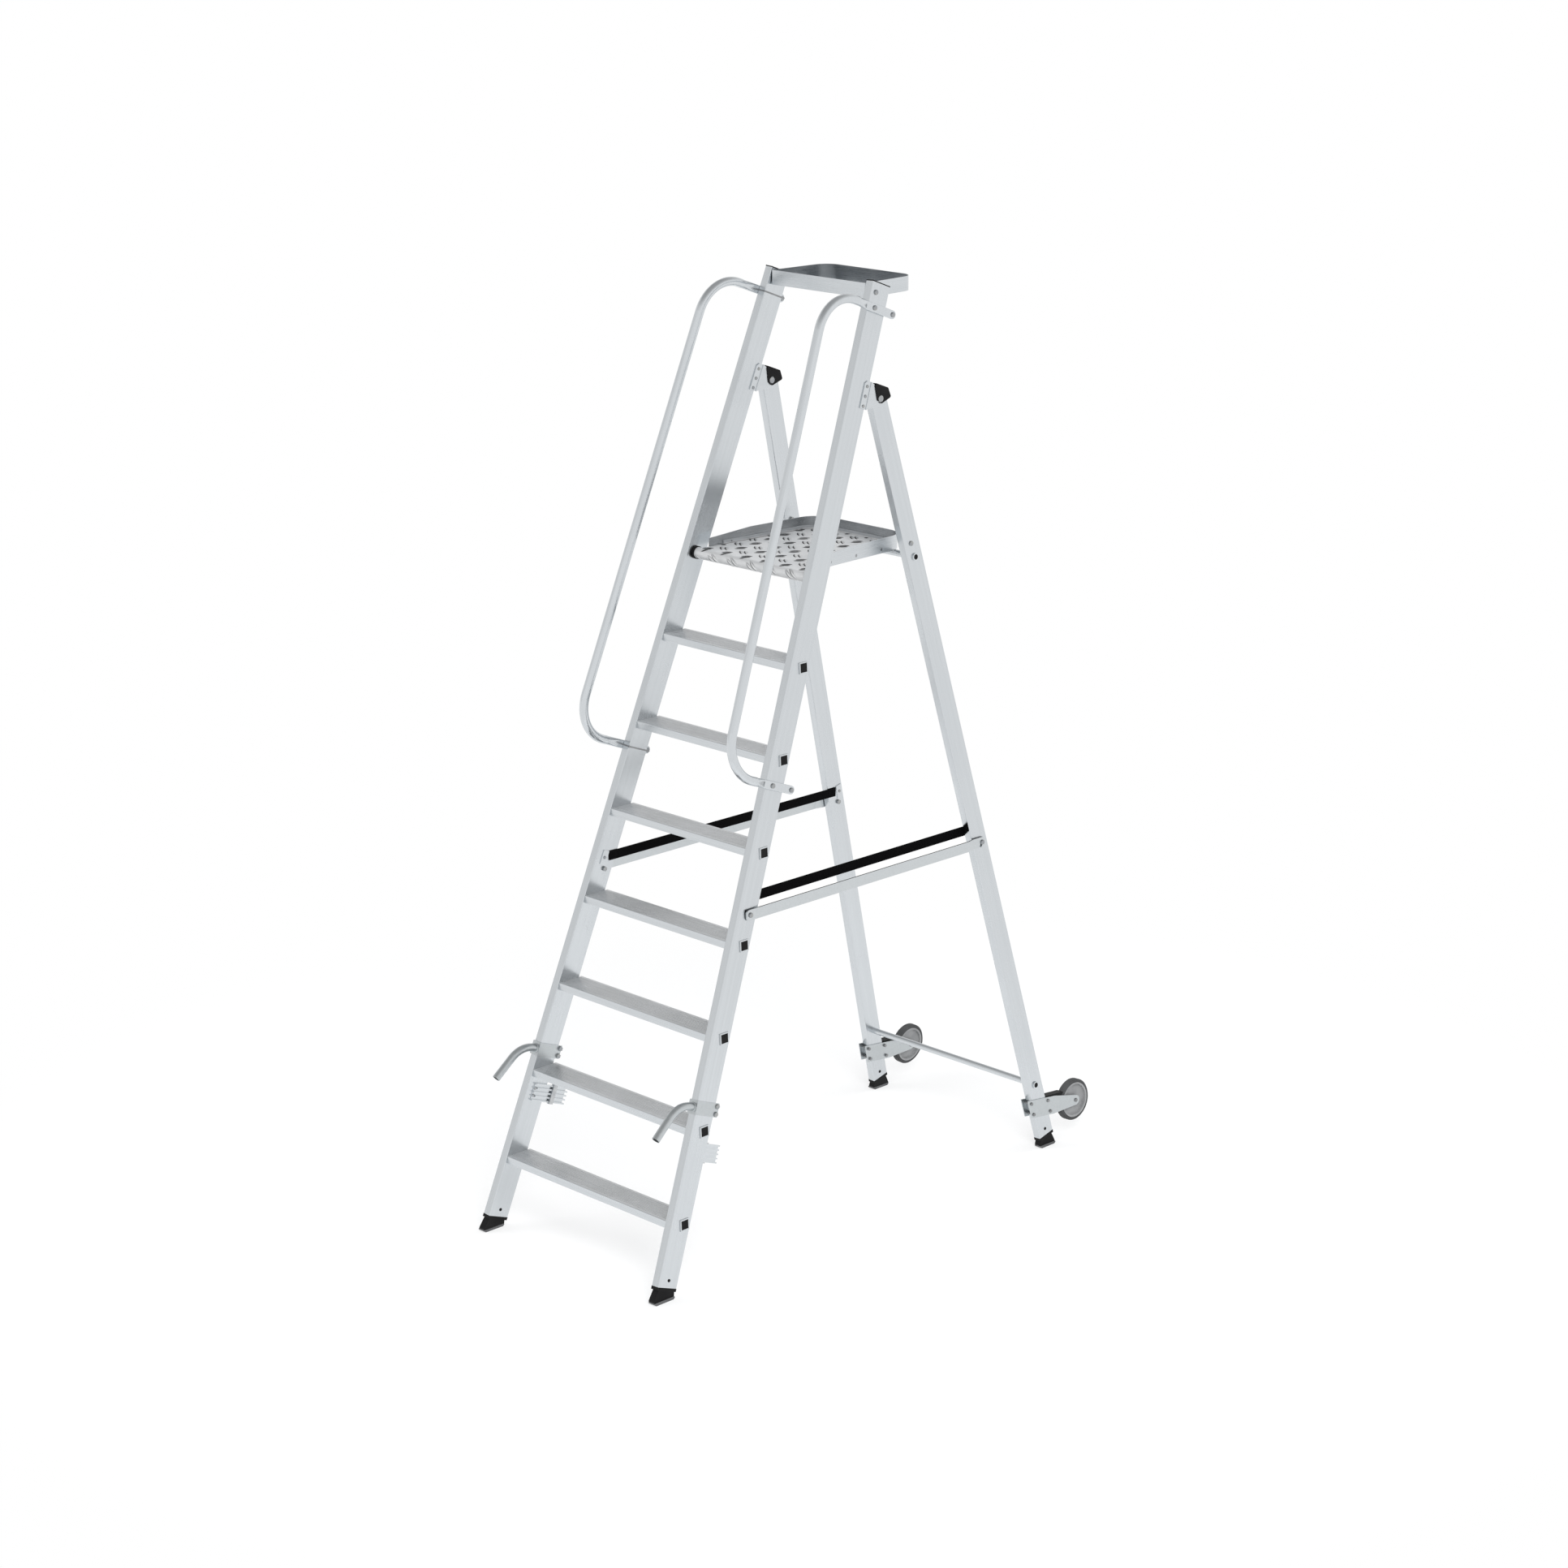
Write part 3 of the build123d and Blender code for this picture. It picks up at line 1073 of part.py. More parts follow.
def wheel_bolt_places():
    places = []
    for t in (WHEEL_BOLT_FRONT_T, WHEEL_BOLT_REAR_T):
        for side in (-WHEEL_BOLT_HALF_PITCH, WHEEL_BOLT_HALF_PITCH):
            places.append(on_leg(t, bracket_u(t, side)))
    return places


def bracket_cheek(p):
    half = WHEEL_BRACKET_HALF / TILT_COS
    points = [(CHEEK_FRONT_T, bracket_u(CHEEK_FRONT_T, side * half)) for side in (-1, 1)]
    points.append(bracket_point(WHEEL_BRACKET_TAPER, WHEEL_BRACKET_HALF))
    points.append(bracket_point(0, WHEEL_BRACKET_TIP))
    points.append(bracket_point(0, -WHEEL_BRACKET_TIP))
    points.append(bracket_point(WHEEL_BRACKET_TAPER, -WHEEL_BRACKET_HALF))
    tip = Pos(p, AXLE_T, AXLE_U) * rod(WHEEL_BRACKET_TIP, 0, WHEEL_PLATE)
    return outline_plate(points, WHEEL_PLATE, p) + tip


AXLE_PLACE = LEG * Pos(0, AXLE_T, AXLE_U)
WHEEL_P0 = -LEG_WIDTH - WHEEL_PLATE
WHEEL_BOLT = bolt(WHEEL_PLATE, WHEEL_P0, WHEEL_BOLT_RADIUS, WHEEL_BOLT_HEAD_RADIUS)
WHEEL_BOLT_HOLE = bolt_hole(WHEEL_PLATE, WHEEL_P0, WHEEL_BOLT_RADIUS)
AXLE_BORE = AXLE_PLACE * rod(AXLE_RADIUS + FIT, WHEEL_P0 - PAST, WHEEL_PLATE + PAST)


def wheel_bracket():
    bracket = LEG * (bracket_cheek(0) + bracket_cheek(WHEEL_P0))
    for place in wheel_bolt_places():
        bracket -= place * WHEEL_BOLT_HOLE
    return bracket - AXLE_BORE


def wheel_spacer():
    """Black block between the cheeks behind the leg, standing a little above their top edge."""
    front = LEG_DEPTH + FIT
    points = [(front, bracket_u(front, -SPACER_BOTTOM)), (front, bracket_u(front, SPACER_TOP))]
    points.append(bracket_point(SPACER_TOP_END, SPACER_TOP))
    points.append(bracket_point(SPACER_BOTTOM_END, -SPACER_BOTTOM))
    body = LEG * outline_plate(points, LEG_WIDTH - 2 * FIT, -LEG_WIDTH + FIT)
    for place in wheel_bolt_places():
        body -= place * WHEEL_BOLT_HOLE
    return body


def axle():
    head = domed_head(AXLE_HEAD_RADIUS, AXLE_HEAD)
    shaft = rod(AXLE_RADIUS, WHEEL_P0, WHEEL_PLATE)
    shaft += Pos(WHEEL_PLATE, 0, 0) * head
    shaft += Pos(WHEEL_P0, 0, 0) * Rot(0, 180, 0) * head
    return AXLE_PLACE * shaft


keep_pair("wheel_bracket", wheel_bracket())
keep("wheel_spacers", both(wheel_spacer()))
keep("wheel_bolts", all_in([place * WHEEL_BOLT for place in wheel_bolt_places()]))
keep("axles", both(axle()))


# Wheels: a plastic hub with a dished web, and a tyre moulded round its rim

WHEEL_MIDDLE = AXLE_PLACE * Pos(-LEG_WIDTH / 2, 0, 0)
HUB_HALF = LEG_WIDTH / 2 - SEAT


def turned(points):
    """Solid of revolution about the axle from points given as x along it and radius."""
    face = make_face(Polyline(*points, close=True))
    return WHEEL_MIDDLE * revolve(face, Axis.X, 360)


def hub():
    rim = WHEEL_WIDTH / 2
    web = HUB_WEB / 2
    bore = AXLE_RADIUS + FIT
    half = [(HUB_HALF, bore), (HUB_HALF, HUB_BOSS_RADIUS - 2 * HUB_DRAFT), (web, HUB_BOSS_RADIUS)]
    half += [(web, HUB_RADIUS - HUB_RIM - HUB_DRAFT), (rim, HUB_RADIUS - HUB_RIM), (rim, HUB_RADIUS)]
    return turned(half + [(-x, r) for x, r in reversed(half)])


def tyre():
    rim = WHEEL_WIDTH / 2
    crown = WHEEL_RADIUS - TYRE_SHOULDER
    seat = HUB_RADIUS + FIT
    half = [(rim, seat), (rim, crown), (rim - TYRE_SHOULDER, WHEEL_RADIUS)]
    return turned(half + [(-x, r) for x, r in reversed(half)])


keep_pair("wheel_hub", hub())
keep_pair("tyre", tyre())


# Stiles, their caps and the rear legs, cut for everything that passes through them

def cut(piece, cutters):
    for cutter in cutters:
        piece -= cutter
    return piece


def stile():
    low, high = STILE_LOW, STILE_TOP / FLARE_COS
    tube = tube_section(STILE_WIDTH, STILE_DEPTH, low, high)
    tube -= tube_section(STILE_WIDTH, STILE_DEPTH, low - PAST, high + PAST, STILE_WALL)
    return cut(STILE * tube, stile_cuts)


def stile_cap():
    top = STILE_TOP / FLARE_COS
    fit = STILE_WALL + 2 * FIT
    cap = block(-STILE_WIDTH, 0, 0, STILE_DEPTH, top, top + CAP_THICKNESS)
    cap += block(-STILE_WIDTH + fit, -fit, fit, STILE_DEPTH - fit, top - CAP_PLUG_LENGTH, top)
    return STILE * cap


def rear_leg():
    hinge = LEG_HINGE_U / FLARE_COS
    high = hinge + LEG_DEPTH
    tube = tube_section(LEG_WIDTH, LEG_DEPTH, LEG_LOW, high)
    tube -= tube_section(LEG_WIDTH, LEG_DEPTH, LEG_LOW - PAST, high + PAST, LEG_WALL)
    round_end = Pos(0, LEG_DEPTH / 2, hinge) * rod(LEG_DEPTH / 2, -2 * LEG_WIDTH, LEG_WIDTH)
    allowed = block(-2 * LEG_WIDTH, LEG_WIDTH, -PAST, LEG_DEPTH + PAST, 0, hinge) + round_end
    return cut(LEG * (tube & allowed), leg_cuts)


keep_pair("stile", stile())
keep("stile_caps", both(stile_cap()))
keep_pair("rear_leg", rear_leg())


# Put the origin on the floor under the middle of the ladder, and write one file per node

boxes = [solid.bounding_box() for solids in nodes.values() for solid in solids]
CENTRE_Y = (min(box.min.Y for box in boxes) + max(box.max.Y for box in boxes)) / 2
os.makedirs("parts", exist_ok=True)
for name, solids in nodes.items():
    placed = [Pos(0, -CENTRE_Y, 0) * solid for solid in solids]
    export_step(Compound(children=placed) if len(placed) > 1 else placed[0], f"parts/{name}.step")
print(len(nodes), "nodes, set back by", round(CENTRE_Y, 3))
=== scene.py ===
# %% [markdown]
# # A rolling step ladder, finished around its CAD frame
# The ladder is a folding aluminium frame with seven ribbed steps, a chequer plate platform, a tool tray, two
# hand rails and two wheels. The CAD model already holds every rigid piece in its true place, so this lesson
# adds what CAD leaves plain: the raised pattern on the platform, the woven straps, the welds, and the finish
# of every surface. The frame is loaded first and never moved. The stiles and the rear legs lean towards each
# other, and both flare out towards the floor.

import json
from math import radians

import bpy
import numpy as np
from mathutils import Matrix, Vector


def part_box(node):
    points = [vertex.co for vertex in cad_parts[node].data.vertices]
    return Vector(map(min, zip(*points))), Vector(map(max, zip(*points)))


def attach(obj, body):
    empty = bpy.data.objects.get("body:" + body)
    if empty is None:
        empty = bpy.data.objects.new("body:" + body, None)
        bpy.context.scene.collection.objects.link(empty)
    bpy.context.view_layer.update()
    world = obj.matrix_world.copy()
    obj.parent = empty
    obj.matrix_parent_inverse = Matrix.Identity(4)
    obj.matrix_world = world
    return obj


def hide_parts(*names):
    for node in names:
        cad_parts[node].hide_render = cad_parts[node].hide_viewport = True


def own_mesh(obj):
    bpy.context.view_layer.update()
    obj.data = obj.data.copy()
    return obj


FRONT_LEAN = radians(20.67)
REAR_LEAN = radians(14.74)
FLARE = radians(3.19)

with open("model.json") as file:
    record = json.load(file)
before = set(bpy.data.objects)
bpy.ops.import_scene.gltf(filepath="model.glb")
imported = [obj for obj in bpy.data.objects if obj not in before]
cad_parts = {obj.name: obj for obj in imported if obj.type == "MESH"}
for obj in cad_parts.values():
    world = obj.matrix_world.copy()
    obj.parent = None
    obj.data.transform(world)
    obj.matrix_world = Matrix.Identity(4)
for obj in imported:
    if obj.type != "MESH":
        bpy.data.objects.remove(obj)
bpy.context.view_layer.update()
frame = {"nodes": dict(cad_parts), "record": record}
nodes = frame["nodes"]
joints = {joint["name"]: joint for joint in frame["record"]["behaviour"]["joints"]}
slot_of = {part["node"]: part["material_slot"] for part in frame["record"]["subparts"]}

# %% [markdown]
# ## Camera
# The photograph was solved as a pinhole camera from the straight edges of the stiles and steps, which gives
# the place, the two turns, the focal length and the middle of the picture in pixels. Turning the camera a
# little instead of shifting its lens would tilt the upright edges, so the off-centre middle is a lens shift.

# %% Camera at the photograph's viewing angle
IMAGE_PX = 1932
FOCAL_PX = 4433.46
MIDDLE_PX = (1009.67, 914.32)
SENSOR_MM = 36.0
CAMERA_PLACE = (6.81590, -6.79061, 3.98216)
CAMERA_DOWN = radians(15.570)
CAMERA_ROUND = radians(44.701)


def new_object(name, data):
    """Put an object with this data in the scene."""
    made = bpy.data.objects.new(name, data)
    bpy.context.scene.collection.objects.link(made)
    return made


camera_data = bpy.data.cameras.new("photo_camera")
camera_data.sensor_width = SENSOR_MM
camera_data.lens = FOCAL_PX / IMAGE_PX * SENSOR_MM
camera_data.shift_x = (IMAGE_PX / 2 - MIDDLE_PX[0]) / IMAGE_PX
camera_data.shift_y = (MIDDLE_PX[1] - IMAGE_PX / 2) / IMAGE_PX
camera = new_object("photo_camera", camera_data)
camera.location = CAMERA_PLACE
camera.rotation_euler = (radians(90) - CAMERA_DOWN, 0, CAMERA_ROUND)
bpy.context.scene.camera = camera
print("camera: lens", round(camera_data.lens, 2), "mm")

# %% [markdown]
# ## Helpers for shader nodes
# Every finish below is a small network of shader nodes. One helper adds a node, sets its options, and either
# links an input or sets its value. The others are short names for the nodes that come up again and again: a
# worked-out value, a stretched range, a blend of colours, and a named group, which is an effect that several
# materials share.

# %% Nodes and groups
def node(tree, kind, inputs=None, **options):
    """Add one node. An input given as a socket is linked, and any other value is set on the socket."""
    made = tree.nodes.new(kind)
    for name, value in options.items():
        setattr(made, name, value)
    for name, value in (inputs or {}).items():
        if isinstance(value, bpy.types.NodeSocket):
            tree.links.new(value, made.inputs[name])
        else:
            made.inputs[name].default_value = value
    return made


def new_group(name, inputs, outputs):
    """Open a shader group, and return its tree and the sockets inside it. A socket named Vector carries a
    vector, and any other carries a plain value."""
    tree = bpy.data.node_groups.new(name, "ShaderNodeTree")
    for direction, labels in (("INPUT", inputs), ("OUTPUT", outputs)):
        for label in labels:
            kind = "NodeSocketVector" if label == "Vector" else "NodeSocketFloat"
            tree.interface.new_socket(label, in_out=direction, socket_type=kind)
    return tree, node(tree, "NodeGroupInput").outputs, node(tree, "NodeGroupOutput").inputs


def use_group(tree, group, inputs):
    """Place a group in a material and return its outputs."""
    return node(tree, "ShaderNodeGroup", inputs, node_tree=group).outputs


def new_material(name, metallic=0.0):
    """A material that holds one Principled shader, with its tree, its shader and its object coordinates."""
    material = bpy.data.materials.new(name)
    material.use_nodes = True
    tree = material.node_tree
    shader = tree.nodes["Principled BSDF"]
    shader.inputs["Metallic"].default_value = metallic
    return material, tree, shader, node(tree, "ShaderNodeTexCoord").outputs["Object"]


print("node and group helpers ready")

# %% Values, colours and links
def calculate(tree, operation, *values):
    """Work out one value from others."""
    return node(tree, "ShaderNodeMath", dict(enumerate(values)), operation=operation).outputs[0]


def vector_math(tree, operation, *values):
    """Work on vectors. The outputs hold a vector, and a plain value for a length or a dot product."""
    return node(tree, "ShaderNodeVectorMath", dict(enumerate(values)), operation=operation).outputs


def part_of(tree, vector, letter):
    """The X, Y or Z of a vector."""
    return node(tree, "ShaderNodeSeparateXYZ", {0: vector}).outputs[letter]


def noise(tree, vector, scale, detail):
    """A cloudy value between 0 and 1."""
    return node(tree, "ShaderNodeTexNoise", {"Vector": vector, "Scale": scale, "Detail": detail}).outputs[0]


def remap(tree, value, span, result=(0.0, 1.0)):
    """Stretch a value from a span to a result, held at the ends, with an S-shaped run between them."""
    ends = {"From Min": span[0], "From Max": span[1], "To Min": result[0], "To Max": result[1]}
    made = node(tree, "ShaderNodeMapRange", {"Value": value, **ends}, interpolation_type="SMOOTHSTEP")
    return made.outputs["Result"]


def blend_colours(tree, amount, first, second):
    """Go from the first colour to the second as the amount goes from 0 to 1."""
    mix = node(tree, "ShaderNodeMix", {"Factor": amount}, data_type="RGBA")
    for socket, colour in ((mix.inputs[6], first), (mix.inputs[7], second)):
        if isinstance(colour, bpy.types.NodeSocket):
            tree.links.new(colour, socket)
        else:
            socket.default_value = (*colour, 1)
    return mix.outputs[2]


def mix_shaders(tree, amount, first, second):
    """Go from the first shader node to the second as the amount goes from 0 to 1."""
    return node(tree, "ShaderNodeMixShader", {0: amount, 1: first.outputs[0], 2: second.outputs[0]})


def set_surface(tree, shader, tone, roughness):
    """Link a colour and a roughness to a material's shader."""
    tree.links.new(tone, shader.inputs["Base Color"])
    tree.links.new(roughness, shader.inputs["Roughness"])


def raise_bumps(tree, shader, height, strength, distance):
    """Let a height tilt the shading normal, by a distance in metres."""
    bump = node(tree, "ShaderNodeBump", {"Height": height, "Strength": strength, "Distance": distance})
    tree.links.new(bump.outputs["Normal"], shader.inputs["Normal"])


print("value, colour and link helpers ready")

# %% [markdown]
# ## Floor, backdrop and light
# The ladder was photographed on plain white, so the world and the floor look white to the camera. Polished
# metal shows whatever stands around it, so reflections see the same white room, only with a grey ceiling and
# a greyer left wall: without them, every tube and rib would be evenly white and lose its form. Near the
# ladder, part of what the camera sees of the floor is a lit surface, so it keeps a soft shadow. Three large
# soft lamps light what is not metal. They are left out of reflections, so that none shows as a hot square in
# a stile.

# %% White world
WHITE = (1, 1, 1, 1)
AMBIENT_TINT = (0.96, 0.98, 1.0, 1)
AMBIENT_LEVEL = 0.62
CEILING_LEVEL = 0.45
CEILING_SPAN = (0.25, 0.95)
LEFT_WALL_LEVEL = 0.86
LEFT_WALL_SPAN = (-0.6, 0.0)

world = bpy.data.worlds.new("white_room")
world.use_nodes = True
bpy.context.scene.world = world
room = world.node_tree
room.nodes.clear()
ray = node(room, "ShaderNodeLightPath").outputs
look = node(room, "ShaderNodeTexCoord").outputs["Generated"]
ceiling = remap(room, part_of(room, look, "Z"), CEILING_SPAN, (1.0, CEILING_LEVEL))
left_wall = remap(room, part_of(room, look, "X"), LEFT_WALL_SPAN, (LEFT_WALL_LEVEL, 1.0))
surround = calculate(room, "MULTIPLY", ceiling, left_wall)
seen = calculate(room, "MAXIMUM", ray["Is Camera Ray"], ray["Is Transmission Ray"])
ambient = node(room, "ShaderNodeBackground", {"Color": AMBIENT_TINT, "Strength": AMBIENT_LEVEL})
mirrored = node(room, "ShaderNodeBackground", {"Color": WHITE, "Strength": surround})
white = node(room, "ShaderNodeBackground", {"Color": WHITE, "Strength": 1.0})
lit = mix_shaders(room, ray["Is Glossy Ray"], ambient, mirrored)
shown = mix_shaders(room, seen, lit, white)
node(room, "ShaderNodeOutputWorld", {"Surface": shown.outputs[0]})
print("world: white to the camera, ceiling level", CEILING_LEVEL, "and ambient level", AMBIENT_LEVEL)

# %% Pale floor
FLOOR_HALF = 40.0
FLOOR_TONE = (0.93, 0.93, 0.93, 1)
SHADOW_SHARE = 0.4
SHADOW_SPAN = (1.3, 2.6)

floor_mesh = bpy.data.meshes.new("floor")
corners = np.array([(-1, -1, 0), (1, -1, 0), (1, 1, 0), (-1, 1, 0)]) * FLOOR_HALF
floor_mesh.from_pydata(corners.tolist(), [], [(0, 1, 2, 3)])
floor = new_object("floor", floor_mesh)

floor_finish = bpy.data.materials.new("pale_floor")
floor_finish.use_nodes = True
tree = floor_finish.node_tree
tree.nodes.clear()
ray = node(tree, "ShaderNodeLightPath").outputs
seen = calculate(tree, "MAXIMUM", ray["Is Camera Ray"], ray["Is Glossy Ray"])
seen = calculate(tree, "MAXIMUM", seen, ray["Is Transmission Ray"])
lit = node(tree, "ShaderNodeBsdfDiffuse", {"Color": FLOOR_TONE})
bright = node(tree, "ShaderNodeEmission", {"Color": WHITE, "Strength": 1.0})
away = vector_math(tree, "LENGTH", node(tree, "ShaderNodeTexCoord").outputs["Object"])["Value"]
near = mix_shaders(tree, remap(tree, away, SHADOW_SPAN, (SHADOW_SHARE, 0.0)), bright, lit)
shown = mix_shaders(tree, seen, lit, near)
node(tree, "ShaderNodeOutputMaterial", {"Surface": shown.outputs[0]})
floor_mesh.materials.append(floor_finish)
print("floor:", 2 * FLOOR_HALF, "m across")

# %% Soft lamps
MIDDLE_OF_LADDER = (0.0, 0.0, 1.3)


def soft_lamp(name, place, size, power):
    """A square area lamp at a place, turned to face the ladder's middle, and left out of reflections."""
    data = bpy.data.lights.new(name, "AREA")
    data.size = size
    data.energy = power
    lamp = new_object(name, data)
    lamp.visible_glossy = False
    lamp.location = place
    x, y, z = np.array(MIDDLE_OF_LADDER) - np.array(place)
    lamp.rotation_euler = (np.arctan2(np.hypot(x, y), -z), 0, np.arctan2(-x, y))


soft_lamp("key_lamp", (5.0, -3.2, 5.2), size=3.5, power=330)
soft_lamp("fill_lamp", (-4.6, -4.2, 3.2), size=4.0, power=170)
soft_lamp("back_lamp", (1.5, 5.5, 4.6), size=4.0, power=170)
bpy.context.scene.view_settings.view_transform = "Standard"
print("lamps: 3")

# %% [markdown]
# ## Surfaces from arrays
# New pieces are worked out as whole arrays. A profile carried along a path is a grid of points, closed round
# the profile, with a flat face at each end. Its other faces are the four corners of each cell, found by
# stacking rolled copies of the array of point numbers. Many equal tubes can share one piece: the numbers of
# each are moved on by the points before it.

# %% Grid to mesh
def tube_faces(rows, columns, count=1):
    """Corner numbers for a count of tubes, each a closed profile of columns points carried over rows: the
    cells round the sides, and two end faces."""
    number = np.arange(rows * columns).reshape(rows, columns)
    right = np.roll(number, -1, axis=1)
    cells = np.stack([number[:-1], right[:-1], right[1:], number[1:]], axis=-1).reshape(-1, 4)
    ends = np.stack([number[0, ::-1], number[-1]])
    first = (np.arange(count) * rows * columns)[:, None, None]
    return (cells + first).reshape(-1, 4), (ends + first).reshape(-1, columns)


def ring_faces(rows, columns):
    """Corner numbers for a grid that closes both ways."""
    number = np.arange(rows * columns).reshape(rows, columns)
    right, below = np.roll(number, -1, axis=1), np.roll(number, -1, axis=0)
    return np.stack([number, below, np.roll(right, -1, axis=0), right], axis=-1).reshape(-1, 4)


def add_piece(name, points, faces, body):
    """Make a smooth mesh object from an array of points and arrays of faces, and let it ride on a body."""
    mesh = bpy.data.meshes.new(name)
    corner_lists = [face for group in faces for face in group.tolist()]
    mesh.from_pydata(points.reshape(-1, 3).tolist(), [], corner_lists)
    mesh.polygons.foreach_set("use_smooth", np.full(len(mesh.polygons), True))
    mesh.update()
    piece = new_object(name, mesh)
    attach(piece, body)
    return piece


def vertices_of(name):
    """All points of a CAD node, as one array."""
    mesh = nodes[name].data
    points = np.empty(3 * len(mesh.vertices))
    mesh.vertices.foreach_get("co", points)
    return points.reshape(-1, 3)


print("surface helpers ready")

# %% [markdown]
# ## The raised pattern of the platform
# The platform is tread plate: pairs of lens-shaped bars are rolled into the sheet, and neighbouring pairs lie
# nearly at right angles, so a shoe grips in every direction. A bump map would show no outline and cast no
# shadow, so each bar is a real closed lens, half sunk in the sheet. The bars are laid out flat first, in a
# plan whose front part is the unrolled nose, and then the whole plan is bent over the nose at once.

# %% Plan of the plate
NOSE_RADIUS = 0.016
NOSE_WRAP_ANGLE = 2.6
NOSE_WRAP = NOSE_WRAP_ANGLE * NOSE_RADIUS
PLATE_TAPER = 0.0633
PLATE_INSET = 0.0145
PLATE_REAR_CORNER = 0.060
EDGE_ROOM = 0.0045

_, NOSE_Y, nose_level = joints["platform_lift"]["pos_m"]
PLATE_TOP = nose_level + NOSE_RADIUS
plate_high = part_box("platform_plate")[1]
plate_half = plate_high.x - EDGE_ROOM
plate_rear = plate_high.y - EDGE_ROOM


def inside_plate(x, y):
    """True for plan points on the plate: within its tapered sides, behind the unrolled nose's end and inside
    the rounded rear corners. The sides step in behind the nose, draw in by the taper and are parallel on the
    nose."""
    side = plate_half - PLATE_INSET * (y > NOSE_Y) - PLATE_TAPER * np.clip(y - NOSE_Y, 0, None)
    flat = (np.abs(x) < side) & (y < plate_rear) & (y > NOSE_Y - NOSE_WRAP)
    over_x = np.abs(x) - (side - PLATE_REAR_CORNER)
    over_y = y - (plate_rear - PLATE_REAR_CORNER)
    cut = (over_x > 0) & (over_y > 0) & (np.hypot(over_x, over_y) > PLATE_REAR_CORNER)
    return flat & ~cut


print("plate top", round(PLATE_TOP, 4), "nose axis y", round(NOSE_Y, 4), "half width", round(plate_half, 4))

# %% Lay out the bars
STEP_ACROSS = np.array((0.0741, 0.0023))
STEP_FORWARD = np.array((0.0130, -0.0685))
PATTERN_START = np.array((0.0154, -0.0146))
PATTERN_REACH = 8
FIRST_LEAN = radians(45)
SECOND_LEAN = radians(-40)
FIRST_HALF_LENGTH = 0.0165
SECOND_HALF_LENGTH = 0.0210
BAR_SPACING = 0.0125
BAR_STAGGER = 0.005
SHORTEST_BAR = 0.010
TRIAL_POINTS = 61

number = np.arange(-PATTERN_REACH, PATTERN_REACH + 1)
column, row = (grid.reshape(-1, 1) for grid in np.meshgrid(number, number))
first = PATTERN_START + column * STEP_ACROSS + row * STEP_FORWARD
second = first + (STEP_ACROSS + STEP_FORWARD) / 2
centre = np.concatenate([first, second])
lean = np.repeat([FIRST_LEAN, SECOND_LEAN], len(first))
longest = np.tile(np.repeat([FIRST_HALF_LENGTH, SECOND_HALF_LENGTH], len(first)), 2)
along = np.stack([np.cos(lean), np.sin(lean)], axis=-1)
across = np.stack([-np.sin(lean), np.cos(lean)], axis=-1)
pair = [centre + side * (across * BAR_SPACING + along * BAR_STAGGER) / 2 for side in (-1, 1)]
centre, along = np.concatenate(pair), np.concatenate([along, along])

# Each bar is cut to the stretch of it that lies on the plate, and left out if little remains.
reach = longest[:, None] * np.linspace(-1, 1, TRIAL_POINTS)
walk = centre[:, None] + reach[:, :, None] * along[:, None]
on_plate = inside_plate(walk[..., 0], walk[..., 1])
low = np.where(on_plate, reach, np.inf).min(axis=1)
high = np.where(on_plate, reach, -np.inf).max(axis=1)
kept = high - low > SHORTEST_BAR
low, high, along = low[kept], high[kept], along[kept]
centre = centre[kept] + along * ((low + high) / 2)[:, None]
half_length = (high - low) / 2
print("bars kept on the plate:", len(centre))

# %% Shape and bend the bars
LENS_POWER = 2.4
BAR_TIP = 0.985
BAR_HALF_WIDTH = 0.0052
BAR_HEIGHT = 0.0021


def lens_grid(rows, columns, tip):
    """A lens's share along, angle round and swell: its section shrinks towards the ends as one minus the
    distance to the lens power, so the crest stays level and the tips come down."""
    share = np.linspace(-tip, tip, rows)[:, None]
    angle = np.linspace(0, 2 * np.pi, columns, endpoint=False)
    return share, angle, 1 - np.abs(share) ** LENS_POWER


def lens_bars(centre, along, half_length, rows=9, columns=8):
    """Closed lenses in plan: across a bar the section is an ellipse. With the plan and the rise comes how far
    each point lies on the side of its bar that faces the climber."""
    share, angle, swell = lens_grid(rows, columns, BAR_TIP)
    side = BAR_HALF_WIDTH * swell * np.cos(angle)
    rise = BAR_HEIGHT * swell * np.sin(angle)
    across = np.stack([-along[:, 1], along[:, 0]], axis=-1)[:, None, None]
    run = half_length[:, None, None, None] * share[:, :, None]
    plan = centre[:, None, None] + run * along[:, None, None] + side[:, :, None] * across
    front = -across[..., 1] * np.cos(angle)
    return plan, np.broadcast_to(rise, plan.shape[:-1]), np.broadcast_to(front, plan.shape[:-1])


def over_the_nose(plan, rise):
    """Bend the plan over the nose: behind the nose axis a point stands at its rise above the plate, and ahead
    of it the distance becomes an angle round the axis, with the rise added to the radius."""
    ahead = np.clip(NOSE_Y - plan[..., 1], 0, None) / NOSE_RADIUS
    radius = NOSE_RADIUS + rise
    y = np.where(ahead > 0, NOSE_Y - radius * np.sin(ahead), plan[..., 1])
    z = np.where(ahead > 0, PLATE_TOP - NOSE_RADIUS + radius * np.cos(ahead), PLATE_TOP + rise)
    return np.stack([plan[..., 0], y, z], axis=-1)


